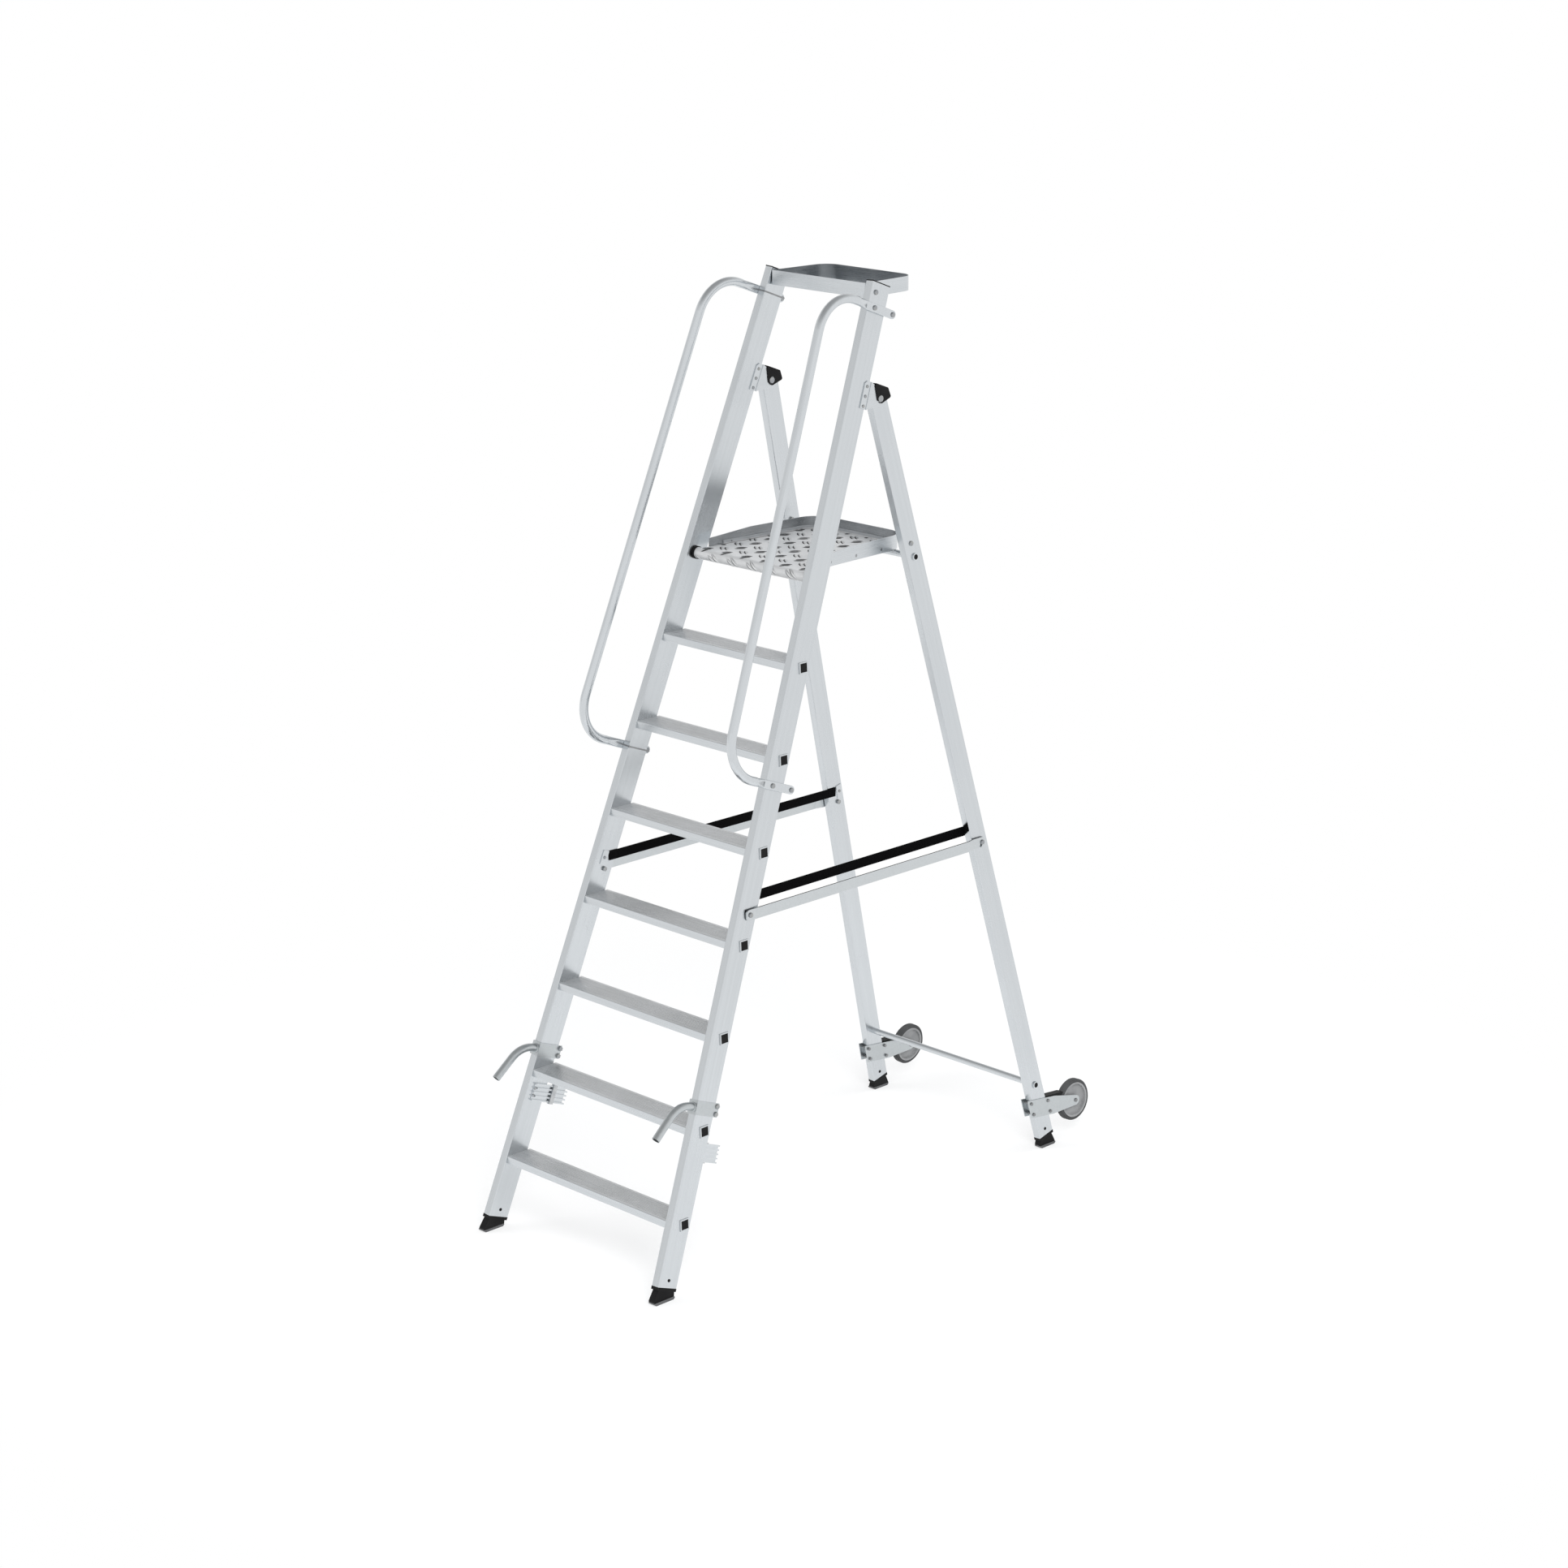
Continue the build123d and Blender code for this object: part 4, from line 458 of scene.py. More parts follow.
plan, rise, front = lens_bars(centre, along, half_length)
bar_points = over_the_nose(plan, rise)
count, rows, columns = rise.shape
bar_faces = tube_faces(rows, columns, count)
chequer_bars = add_piece("chequer_bars", bar_points, bar_faces, "platform")
# crest later sets where a bar is polished, and front where its flank gets painted shade.
for name, value in {"crest": rise / BAR_HEIGHT, "front": front}.items():
    share = np.clip(value, 0, 1).astype(np.float32).ravel()
    chequer_bars.data.attributes.new(name, "FLOAT", "POINT").data.foreach_set("value", share)
print("chequer bars:", count, "lenses,", len(chequer_bars.data.polygons), "faces")

# %% [markdown]
# ## Webbing straps
# Two woven bands stop the frame from spreading. A strip of plane would have no thickness at its edge, so each
# band is a closed profile carried along the straight line between the two clamp plates: flat in the middle,
# with the two thicker cords that a loom leaves along the edges. The CAD solid gives both ends and the height.
# Real webbing crumples when the ladder folds. The share of each band that the fold leaves is worked out along
# the line from its rear end to where the fold takes that end.

# %% Band profile and path
BAND_ROWS = 90
BAND_POINTS = 48
BAND_SQUARENESS = 0.55
BAND_HALF_THICKNESS = 0.0006
EDGE_CORD = 0.00035
EDGE_CORD_PLACE = 0.90
EDGE_CORD_WIDTH = 0.07
FOLD_HINGE = np.array(joints["fold"]["pos_m"])
FOLD_TURN = joints["fold"]["axis"][0] * radians(joints["fold"]["range_deg"][1])


def band_profile(half_height):
    """Closed outline of a woven band: a superellipse, thickened by a narrow bell near both edges."""
    angle = np.linspace(0, 2 * np.pi, BAND_POINTS, endpoint=False)
    height = np.sign(np.cos(angle)) * np.abs(np.cos(angle)) ** BAND_SQUARENESS
    wall = np.sign(np.sin(angle)) * np.abs(np.sin(angle)) ** BAND_SQUARENESS
    from_cord = (np.abs(height) - EDGE_CORD_PLACE) / EDGE_CORD_WIDTH
    swell = BAND_HALF_THICKNESS + EDGE_CORD * np.exp(-(from_cord**2))
    return half_height * height, swell * wall


def band_frame(name):
    """Both end centres of a CAD strap, its height direction and half its height, read from its corners."""
    points = vertices_of(name)
    ahead = points[:, 1] < points[:, 1].mean()
    front, rear = points[ahead], points[~ahead]
    high = front[:, 2] > front[:, 2].mean()
    up = front[high].mean(axis=0) - front[~high].mean(axis=0)
    half_height = np.linalg.norm(up) / 2
    return front.mean(axis=0), rear.mean(axis=0), up / (2 * half_height), half_height


def map_weave(piece, run, height):
    """Give a band a UV map in metres: the run along its path and the height across it."""
    corner = np.empty(len(piece.data.loops), dtype=np.int32)
    piece.data.loops.foreach_get("vertex_index", corner)
    uv = np.stack([np.repeat(run, len(height))[corner], np.tile(height, len(run))[corner]], axis=-1)
    piece.data.uv_layers.new(name="weave").data.foreach_set("uv", uv.astype(np.float32).ravel())


def crumple(piece, front, rear):
    """Work out the share of a piece that the fold leaves. The axis is the line from the rear end to where the
    hinge turns it, and the share kept is what remains of the band's reach along that line. The piece is not
    squashed, and only gets a mesh of its own."""
    x, y, z = rear - FOLD_HINGE
    cosine, sine = np.cos(FOLD_TURN), np.sin(FOLD_TURN)
    path = FOLD_HINGE + np.array((x, y * cosine - z * sine, y * sine + z * cosine)) - rear
    travel = np.linalg.norm(path)
    axis = path / travel
    keep = 1 + travel / ((rear - front) @ axis)
    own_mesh(piece)
    return keep


def webbing_band(name):
    """The band's surface: the profile set across the line from the front end to the rear end."""
    front, rear, up, half_height = band_frame(name)
    wall = np.cross(rear - front, up)
    wall /= np.linalg.norm(wall)
    height, thick = band_profile(half_height)
    share = np.linspace(0, 1, BAND_ROWS)
    points = front + share[:, None, None] * (rear - front) + height[:, None] * up + thick[:, None] * wall
    faces = tube_faces(BAND_ROWS, BAND_POINTS)
    piece = add_piece(name.replace("strap", "webbing"), points, faces, "front_frame")
    length = np.linalg.norm(rear - front)
    map_weave(piece, share * length, height)
    remains = length * crumple(piece, front, rear)
    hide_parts(name)
    print(name, "is a band of", round(length, 3), "m, of which the fold leaves", round(remains, 3))
    return piece


webbing = {name: webbing_band(name) for name in ("strap_left", "strap_right")}

# %% [markdown]
# ## Stitching and the loose tail
# Each band is sewn back on itself at both ends with a box of stitches. One stitch is the same closed lens as
# a bar of the platform, only much smaller, and it is pushed through the band so that it shows on both faces.
# At the right rear leg the sewn tail of the band is not tucked in: it turns round the leg's front edge and
# lies across its front face. A flat patch would float off the edge, so the tail is a band whose path follows
# the edge and rises across the face.

# %% Sew the ends
STITCH_HALF = (0.0015, 0.0004, 0.0009)
STITCH_PITCH = 0.0042
STITCH_TIP = 0.96
STITCH_ROWS = 5
STITCH_COLUMNS = 6
SEAM_FROM_END = (0.004, 0.024)
SEAM_HALF_HEIGHT = 0.0105
SEAM_SLACK = 0.0001


def stitch_plan(length):
    """Middles of the stitches along the band and across it, and whether each lies along the band: two long
    rows and two short rows make a box at each end."""
    start, end = SEAM_FROM_END
    side = SEAM_HALF_HEIGHT
    long_run = np.arange(start, end + SEAM_SLACK, STITCH_PITCH)
    short_run = np.arange(-side + STITCH_PITCH, side - SEAM_SLACK, STITCH_PITCH)
    rows = [np.stack([long_run, np.full_like(long_run, level)], axis=-1) for level in (-side, side)]
    posts = [np.stack([np.full_like(short_run, place), short_run], axis=-1) for place in (start, end)]
    box = np.concatenate(rows + posts)
    lies_along = np.repeat([True, False], [2 * len(long_run), 2 * len(short_run)])
    far_box = box * (-1, 1) + (length, 0)
    return np.concatenate([box, far_box]), np.concatenate([lies_along, lies_along])


def sew(name):
    """All stitches of one band, as closed lenses whose section shrinks towards the ends as in the bars."""
    front, rear, up, _ = band_frame(name)
    length = np.linalg.norm(rear - front)
    run = (rear - front) / length
    middle, lies_along = stitch_plan(length)
    share, angle, swell = lens_grid(STITCH_ROWS, STITCH_COLUMNS, STITCH_TIP)
    reach = STITCH_HALF[0] * share
    side = STITCH_HALF[1] * swell * np.cos(angle)
    deep = STITCH_HALF[2] * swell * np.sin(angle)
    lengthways = lies_along[:, None, None]
    along = middle[:, 0, None, None] + np.where(lengthways, reach, -side)
    across = middle[:, 1, None, None] + np.where(lengthways, side, reach)
    points = front + along[..., None] * run + across[..., None] * up + deep[..., None] * np.cross(run, up)
    faces = tube_faces(STITCH_ROWS, STITCH_COLUMNS, len(middle))
    piece = add_piece(name.replace("strap", "stitches"), points, faces, "front_frame")
    crumple(piece, front, rear)
    return piece


stitches = [sew(name) for name in webbing]
print("stitches in", len(stitches), "bands,", len(stitches[0].data.polygons), "faces each")

# %% Tail on the right rear leg
TAIL_BACK = 0.012
TAIL_RISE = 0.019
TAIL_HALF_HEIGHT = 0.013
TAIL_LIFT = 0.0010
TAIL_FROM_EDGE = 0.0008
TAIL_ROWS = 60

sine, cosine = np.sin(REAR_LEAN), np.cos(REAR_LEAN)
leg_deep = np.array((0.0, cosine, sine))
leg_up = np.array((-np.sin(FLARE), -sine * np.cos(FLARE), cosine * np.cos(FLARE)))
leg_out = np.cross(leg_deep, leg_up)
leg = vertices_of("rear_leg_right")
inner_face, outer_face = (leg @ leg_out).min(), (leg @ leg_out).max()
front_face = (leg @ leg_deep).min()
band_end = band_frame("strap_right")[1]
turn_length = TAIL_LIFT * np.pi / 2
face_length = outer_face - TAIL_FROM_EDGE - inner_face

# The path runs forward beside the leg, turns a quarter circle round its front edge and crosses its front
# face. The angle of that turn also gives the direction in which the tail's thickness stands.
run = np.linspace(0, TAIL_BACK + turn_length + face_length, TAIL_ROWS)
angle = np.clip((run - TAIL_BACK) / TAIL_LIFT, 0, np.pi / 2)
crossed = np.clip(run - TAIL_BACK - turn_length, 0, None)
behind = np.clip(TAIL_BACK - run, 0, None)
out = inner_face - TAIL_LIFT * np.cos(angle) + crossed
deep = front_face - TAIL_LIFT * np.sin(angle) + behind
level = band_end @ leg_up + (band_end @ leg_deep - deep) * np.tan(REAR_LEAN)
rise = level + TAIL_RISE * crossed / face_length
height, thick = band_profile(TAIL_HALF_HEIGHT)
away = -(np.cos(angle)[:, None] * leg_out + np.sin(angle)[:, None] * leg_deep)
line = out[:, None] * leg_out + deep[:, None] * leg_deep + rise[:, None] * leg_up
tail_points = line[:, None] + height[:, None] * leg_up + thick[:, None] * away[:, None]
tail_faces = tube_faces(TAIL_ROWS, BAND_POINTS)
tail = add_piece("webbing_tail", tail_points, tail_faces, "rear_frame")
map_weave(tail, run, height)
print("tail across", round(face_length * 1000, 1), "mm of the leg's front face")

# %% [markdown]
# ## Welds on the lift handles
# Each lift handle is a bent tube welded to its bracket, and a weld shows as a ring of small overlapping
# ripples. A torus would look cast, so the ring's thickness waves round the tube, one wave for each dip of the
# filler rod. The tube's own end in the CAD model gives the ring's middle and radius.

# %% Weld rings
TUBE_DIRECTION = np.array((0.0, np.cos(FRONT_LEAN), -np.sin(FRONT_LEAN)))
TUBE_END_DEPTH = 0.0002
WELD_RADIUS = 0.0022
WELD_RIPPLES = 26
WELD_WAVE = 0.16
WELD_LEAN = 0.35


def weld_ring(middle, radius, points=208, columns=12):
    """Torus round a tube: the small radius waves with the angle as a raised sine, and each ripple leans back
    a little, so the bead looks laid in dips."""
    up = np.array((1.0, 0.0, 0.0))
    side = np.cross(TUBE_DIRECTION, up)
    angle = np.linspace(0, 2 * np.pi, points, endpoint=False)[:, None]
    around = np.linspace(0, 2 * np.pi, columns, endpoint=False)
    ripple = np.abs(np.sin(WELD_RIPPLES * angle / 2 + WELD_LEAN * np.cos(around)))
    bead = WELD_RADIUS * (1 + WELD_WAVE * ripple)
    spoke = np.cos(angle)[..., None] * up + np.sin(angle)[..., None] * side
    out = radius + bead * np.cos(around)
    lift = bead * np.sin(around)
    return middle + out[..., None] * spoke + lift[..., None] * TUBE_DIRECTION


welds = []
for side in ("left", "right"):
    tube = vertices_of("lift_handle_" + side)
    depth = tube @ TUBE_DIRECTION
    end = tube[depth > depth.max() - TUBE_END_DEPTH]
    middle = (end.max(axis=0) + end.min(axis=0)) / 2
    radius = np.linalg.norm(end - middle, axis=1).max()
    ring = weld_ring(middle, radius)
    faces = [ring_faces(*ring.shape[:2])]
    welds.append(add_piece("handle_weld_" + side, ring, faces, "front_frame"))
    print("weld", side, "radius", round(radius, 4), "at", middle.round(3))

# %% [markdown]
# ## Finishes that several materials share
# Extruded aluminium has fine lines along its length, sheet has handling marks, edges are rubbed brighter, and
# moulded plastic has a grain. Each is a group that gives masks which vary over the surface, and each material
# sets its own amounts.

# %% Group: drawn lines
drawn_lines, given, made = new_group("drawn_lines", ("Vector", "Across", "Along"), ("Lines", "Streaks"))
sizes = {"X": given["Across"], "Y": given["Across"], "Z": given["Along"]}
stretch = node(drawn_lines, "ShaderNodeCombineXYZ", sizes).outputs[0]
spread = vector_math(drawn_lines, "MULTIPLY", given["Vector"], stretch)["Vector"]
fine = noise(drawn_lines, spread, scale=1.0, detail=4.0)
wide = noise(drawn_lines, spread, scale=0.13, detail=2.0)
drawn_lines.links.new(fine, made["Lines"])
drawn_lines.links.new(remap(drawn_lines, wide, (0.35, 0.65)), made["Streaks"])
print("group drawn_lines")

# %% Group: handling marks
SPECKS_FINER = 38.0

handling_marks, given, made = new_group("handling_marks", ("Vector", "Scale"), ("Marks", "Specks"))
cloud = noise(handling_marks, given["Vector"], given["Scale"], detail=5.0)
speck_scale = calculate(handling_marks, "MULTIPLY", given["Scale"], SPECKS_FINER)
speck = noise(handling_marks, given["Vector"], speck_scale, detail=2.0)
handling_marks.links.new(remap(handling_marks, cloud, (0.38, 0.66)), made["Marks"])
handling_marks.links.new(remap(handling_marks, speck, (0.55, 0.75)), made["Specks"])
print("group handling_marks")

# %% Group: rubbed edges
rubbed_edges, given, made = new_group("rubbed_edges", ("Width",), ("Edge",))
rounded = node(rubbed_edges, "ShaderNodeBevel", {"Radius": given["Width"]}, samples=4).outputs[0]
true_normal = node(rubbed_edges, "ShaderNodeNewGeometry").outputs["Normal"]
agree = vector_math(rubbed_edges, "DOT_PRODUCT", rounded, true_normal)["Value"]
rubbed_edges.links.new(remap(rubbed_edges, agree, (0.80, 0.99), (1.0, 0.0)), made["Edge"])


def rub_edges(tree, tone, colour, width):
    """Go from a tone to another colour within a width of each edge."""
    edge = use_group(tree, rubbed_edges, {"Width": width})["Edge"]
    return blend_colours(tree, edge, tone, colour)


print("group rubbed_edges")

# %% Group: moulded grain
CLOUD_COARSER = 0.03

moulded_grain, given, made = new_group("moulded_grain", ("Vector", "Scale"), ("Grain", "Cloud"))
pores = node(moulded_grain, "ShaderNodeTexVoronoi", {"Vector": given["Vector"], "Scale": given["Scale"]})
cloud_scale = calculate(moulded_grain, "MULTIPLY", given["Scale"], CLOUD_COARSER)
cloud = noise(moulded_grain, given["Vector"], cloud_scale, detail=4.0)
moulded_grain.links.new(pores.outputs["Distance"], made["Grain"])
moulded_grain.links.new(remap(moulded_grain, cloud, (0.35, 0.65)), made["Cloud"])
print("group moulded_grain")

# %% [markdown]
# ## Satin aluminium profiles
# Stiles, legs and tubes are extruded, so their lines run along them. One material per direction is made: a
# Mapping node turns the object coordinates until the profile lies along Z. The lines change the roughness and
# tilt the surface very slightly, and the edges are a little brighter.

# %% Profile material
SATIN = (0.640, 0.668, 0.690)
SATIN_DEEP = (0.622, 0.650, 0.672)
SATIN_EDGE = (0.74, 0.76, 0.78)
SATIN_ROUGHNESS = (0.24, 0.34)
RAIL_ROUGHNESS = (0.16, 0.26)
LINES_PER_METRE = {"Across": 900.0, "Along": 4.0}


def profile_material(name, turn, roughness=SATIN_ROUGHNESS):
    """Extruded aluminium whose length lies along Z after the turn."""
    material, tree, shader, place = new_material(name, metallic=1.0)
    turned = node(tree, "ShaderNodeMapping", {"Vector": place, "Rotation": turn}).outputs[0]
    lines = use_group(tree, drawn_lines, {"Vector": turned, **LINES_PER_METRE})
    marks = use_group(tree, handling_marks, {"Vector": place, "Scale": 5.0})
    tone = blend_colours(tree, lines["Streaks"], SATIN_DEEP, SATIN)
    tone = rub_edges(tree, tone, SATIN_EDGE, width=0.0012)
    uneven = calculate(tree, "MULTIPLY", lines["Lines"], marks["Marks"])
    set_surface(tree, shader, tone, remap(tree, uneven, (0.1, 0.6), roughness))
    raise_bumps(tree, shader, lines["Lines"], strength=0.06, distance=0.00003)
    return material


stile_finish = {
    "stile_left": profile_material("satin_stile_left", (FRONT_LEAN, -FLARE, 0)),
    "stile_right": profile_material("satin_stile_right", (FRONT_LEAN, FLARE, 0)),
    "rear_leg_left": profile_material("satin_leg_left", (-REAR_LEAN, -FLARE, 0)),
    "rear_leg_right": profile_material("satin_leg_right", (-REAR_LEAN, FLARE, 0)),
}
rail_finish = profile_material("satin_rail", (FRONT_LEAN, 0, 0), RAIL_ROUGHNESS)
bar_finish = profile_material("satin_bar", (0, radians(90), 0))
plate_finish = profile_material("satin_fitting", (radians(90), 0, 0))
print("profile materials:", len(stile_finish) + 3)

# %% [markdown]
# ## Ribbed treads
# The tread's ribs are real grooves in the CAD model. The top of a tread is painted a little darker than its
# front lip as shade, with lighter rubbed marks on it, and the grooves are painted darker still as shade. The
# mask for the top is the surface's upward tilt, and ambient occlusion finds the grooves.

# %% Tread material
TREAD_TOP_SHADE = (0.60, 0.615, 0.625)
TREAD_RUBBED = (0.66, 0.675, 0.69)
TREAD_GROOVE_SHADE = (0.50, 0.505, 0.51)
TREAD_GROOVE_METALLIC = 0.3
TREAD_ROUGHNESS = (0.26, 0.38)


def tread_material():
    """Extruded step whose length lies along X, with painted shade on top and in the grooves."""
    material, tree, shader, place = new_material("ribbed_tread")
    along_x = {"Vector": place, "Rotation": (0, radians(90), 0)}
    turned = node(tree, "ShaderNodeMapping", along_x).outputs[0]
    lines = use_group(tree, drawn_lines, {"Vector": turned, **LINES_PER_METRE})
    marks = use_group(tree, handling_marks, {"Vector": place, "Scale": 9.0})
    facing = node(tree, "ShaderNodeNewGeometry").outputs["Normal"]
    # Painted shade: the top is darker than the sides, and the grooves, found by ambient occlusion, darker
    # still and less metallic.
    top = remap(tree, part_of(tree, facing, "Z"), (0.6, 0.95))
    hidden = node(tree, "ShaderNodeAmbientOcclusion", {"Distance": 0.004}, samples=8)
    grooves = remap(tree, hidden.outputs["AO"], (0.35, 0.95), (1.0, 0.0))
    side_tone = blend_colours(tree, lines["Streaks"], SATIN_DEEP, SATIN)
    top_shade_tone = blend_colours(tree, marks["Marks"], TREAD_TOP_SHADE, TREAD_RUBBED)
    tone = blend_colours(tree, top, side_tone, top_shade_tone)
    tone = blend_colours(tree, grooves, tone, TREAD_GROOVE_SHADE)
    set_surface(tree, shader, tone, remap(tree, lines["Lines"], (0.3, 0.7), TREAD_ROUGHNESS))
    metallic = remap(tree, grooves, (0.0, 1.0), (1.0, TREAD_GROOVE_METALLIC))
    tree.links.new(metallic, shader.inputs["Metallic"])
    raise_bumps(tree, shader, lines["Lines"], strength=0.3, distance=0.00004)
    return material


tread_finish = tread_material()
print("tread material made")

# %% [markdown]
# ## Sheet aluminium of the tray and toe board
# Both are bent from brushed sheet. Outside they mirror the white room. Inside, the walls face each other and
# the floor of the piece, and are painted dark grey as shade, with cloudy marks in it. The mask for the inside
# is how far the surface faces the piece's own middle.

# %% Sheet material
TRAY_INNER_SHADE = (0.47, 0.49, 0.51)
TRAY_INNER_SHADE_DEEP = (0.35, 0.37, 0.39)
TOE_INNER_SHADE = (0.45, 0.465, 0.48)
TOE_INNER_SHADE_DEEP = (0.36, 0.375, 0.39)
SHEET_EDGE = (0.62, 0.64, 0.66)
SHEET_ROUGHNESS = (0.24, 0.40)
BRUSHING_PER_METRE = {"Across": 12.0, "Along": 1500.0}


def inward_tilt(tree, place, centre):
    """How far a surface faces the upright line through a centre: the dot product of its normal and the level
    direction to that line."""
    to_middle = vector_math(tree, "SUBTRACT", centre, place)["Vector"]
    level = vector_math(tree, "MULTIPLY", to_middle, (1, 1, 0))["Vector"]
    inward = vector_math(tree, "NORMALIZE", level)["Vector"]
    facing = node(tree, "ShaderNodeNewGeometry").outputs["Normal"]
    spaces = {"vector_type": "NORMAL", "convert_from": "WORLD", "convert_to": "OBJECT"}
    own = node(tree, "ShaderNodeVectorTransform", {0: facing}, **spaces).outputs[0]
    return vector_math(tree, "DOT_PRODUCT", own, inward)["Value"]


def sheet_material(name, box, shade_deep, shade_light):
    """Brushed sheet bent round its box's centre: bright outside, with painted shade inside."""
    material, tree, shader, place = new_material(name, metallic=1.0)
    lines = use_group(tree, drawn_lines, {"Vector": place, **BRUSHING_PER_METRE})
    marks = use_group(tree, handling_marks, {"Vector": place, "Scale": 7.0})
    centre = tuple((box[0] + box[1]) / 2)
    # Painted shade: the faces that look inward are dark grey.
    inside = remap(tree, inward_tilt(tree, place, centre), (0.05, 0.30))
    outer = blend_colours(tree, lines["Streaks"], SATIN_DEEP, SATIN)
    inner = blend_colours(tree, marks["Marks"], shade_deep, shade_light)
    tone = blend_colours(tree, inside, outer, inner)
    tone = rub_edges(tree, tone, SHEET_EDGE, width=0.0008)
    set_surface(tree, shader, tone, remap(tree, lines["Lines"], (0.3, 0.7), SHEET_ROUGHNESS))
    raise_bumps(tree, shader, lines["Lines"], strength=0.3, distance=0.00004)
    return material


tray_finish = sheet_material("brushed_tray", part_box("tool_tray"), TRAY_INNER_SHADE_DEEP, TRAY_INNER_SHADE)
toe_finish = sheet_material("brushed_toe_board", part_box("toe_board"), TOE_INNER_SHADE_DEEP, TOE_INNER_SHADE)
print("sheet materials: 2")

# %% [markdown]
# ## Chequer plate
# The sheet is bright. Shoes polish the crests of the raised bars, and the flanks that face the climber and
# the sheet beside them are painted dark as shade. How high a point stands on its bar, and how far it lies on
# the climber's side, were kept as the attributes crest and front, so the bars go from a flank in painted
# shade to a bright top wherever they lie, on the flat and round the nose. On the sheet, ambient occlusion
# finds the strip of painted shade beside a bar. The nose, which faces forward, is painted darker than the
# flat as shade, and the upturned rim takes the same painted shade as the inside of the toe board behind it.

# %% Chequer materials
CHEQUER_DEEP = (0.70, 0.71, 0.72)
CHEQUER_LIGHT = (0.80, 0.805, 0.81)
CHEQUER_METALLIC = 0.45
SHEET_SHADE = (0.24, 0.24, 0.245)
FLANK_SHADE = (0.060, 0.060, 0.062)
FLANK_SHADE_DEEP = (0.030, 0.030, 0.031)
NOSE_SHADE = (0.56, 0.565, 0.57)
RIM_SPAN = (PLATE_TOP + 0.002, PLATE_TOP + 0.004)


def chequer_tone(tree, place):
    """Cloudy bright aluminium, and the marks that it comes from."""
    marks = use_group(tree, handling_marks, {"Vector": place, "Scale": 11.0})
    return blend_colours(tree, marks["Marks"], CHEQUER_DEEP, CHEQUER_LIGHT), marks


def chequer_sheet_material():
    """Bright sheet, with painted shade beside each bar, on the nose and on the upturned rim."""
    material, tree, shader, place = new_material("chequer_sheet", CHEQUER_METALLIC)
    tone, marks = chequer_tone(tree, place)
    # Painted shade: ambient occlusion darkens the sheet beside each bar.
    hidden = node(tree, "ShaderNodeAmbientOcclusion", {"Distance": 0.005}, samples=8)
    bar_side_shade = remap(tree, hidden.outputs["AO"], (0.55, 0.95), (1.0, 0.0))
    tone = blend_colours(tree, bar_side_shade, tone, SHEET_SHADE)
    # Painted shade on the nose, where the surface faces forward.
    own = node(tree, "ShaderNodeTexCoord").outputs["Normal"]
    nose = remap(tree, part_of(tree, own, "Y"), (-0.75, -0.15), (1.0, 0.0))
    tone = blend_colours(tree, nose, tone, NOSE_SHADE)
    # Painted shade on the upturned rim, as dark as the toe board's inside.
    rim = remap(tree, part_of(tree, place, "Z"), RIM_SPAN)
    tone = blend_colours(tree, rim, tone, TOE_INNER_SHADE_DEEP)
    set_surface(tree, shader, tone, remap(tree, marks["Marks"], (0.0, 1.0), (0.42, 0.56)))
    raise_bumps(tree, shader, marks["Specks"], strength=0.15, distance=0.0001)
    return material


def chequer_bar_material():
    """Raised bars: painted shade on the flanks that face the climber, and polished on the crest."""
    material, tree, shader, place = new_material("chequer_crest", metallic=1.0)
    tone, marks = chequer_tone(tree, place)
    height = node(tree, "ShaderNodeAttribute", attribute_name="crest").outputs["Fac"]
    side = node(tree, "ShaderNodeAttribute", attribute_name="front").outputs["Fac"]
    polished = remap(tree, height, (0.90, 1.0))
    # Painted shade: the flanks that face the climber are dark.
    flank_shade_tone = blend_colours(tree, marks["Marks"], FLANK_SHADE_DEEP, FLANK_SHADE)
    flank = blend_colours(tree, remap(tree, side, (0.05, 0.40)), tone, flank_shade_tone)
    tone = blend_colours(tree, polished, flank, tone)
    set_surface(tree, shader, tone, remap(tree, polished, (0.0, 1.0), (0.42, 0.18)))
    raise_bumps(tree, shader, marks["Specks"], strength=0.15, distance=0.0001)
    return material


chequer_sheet = chequer_sheet_material()
chequer_bars.data.materials.append(chequer_bar_material())
print("chequer materials: 2")

# %% [markdown]
# ## Galvanised, zinc-plated, dark and spring steel
# Hot-dip zinc freezes in flat crystals, each with its own grey, so a cell pattern gives every crystal one
# tone and one roughness. On thin plate the crystals are small and differ little. The braces are a lighter
# strip than the brackets, with painted shade on their upward faces. Plated bolts are cloudy, with a faint
# blue and yellow cast. The axles and the wheel bolts are darker steel, the rail clips take the same dark tone
# as painted shade for their thin edge, and springs are bright drawn wire.

# %% Steel materials
BRACE_TOP_SHADE = (0.16, 0.165, 0.17)


def scaled(colour, factor):
    """A colour made darker or brighter by a factor, at most 1."""
    return tuple(min(1.0, factor * value) for value in colour)


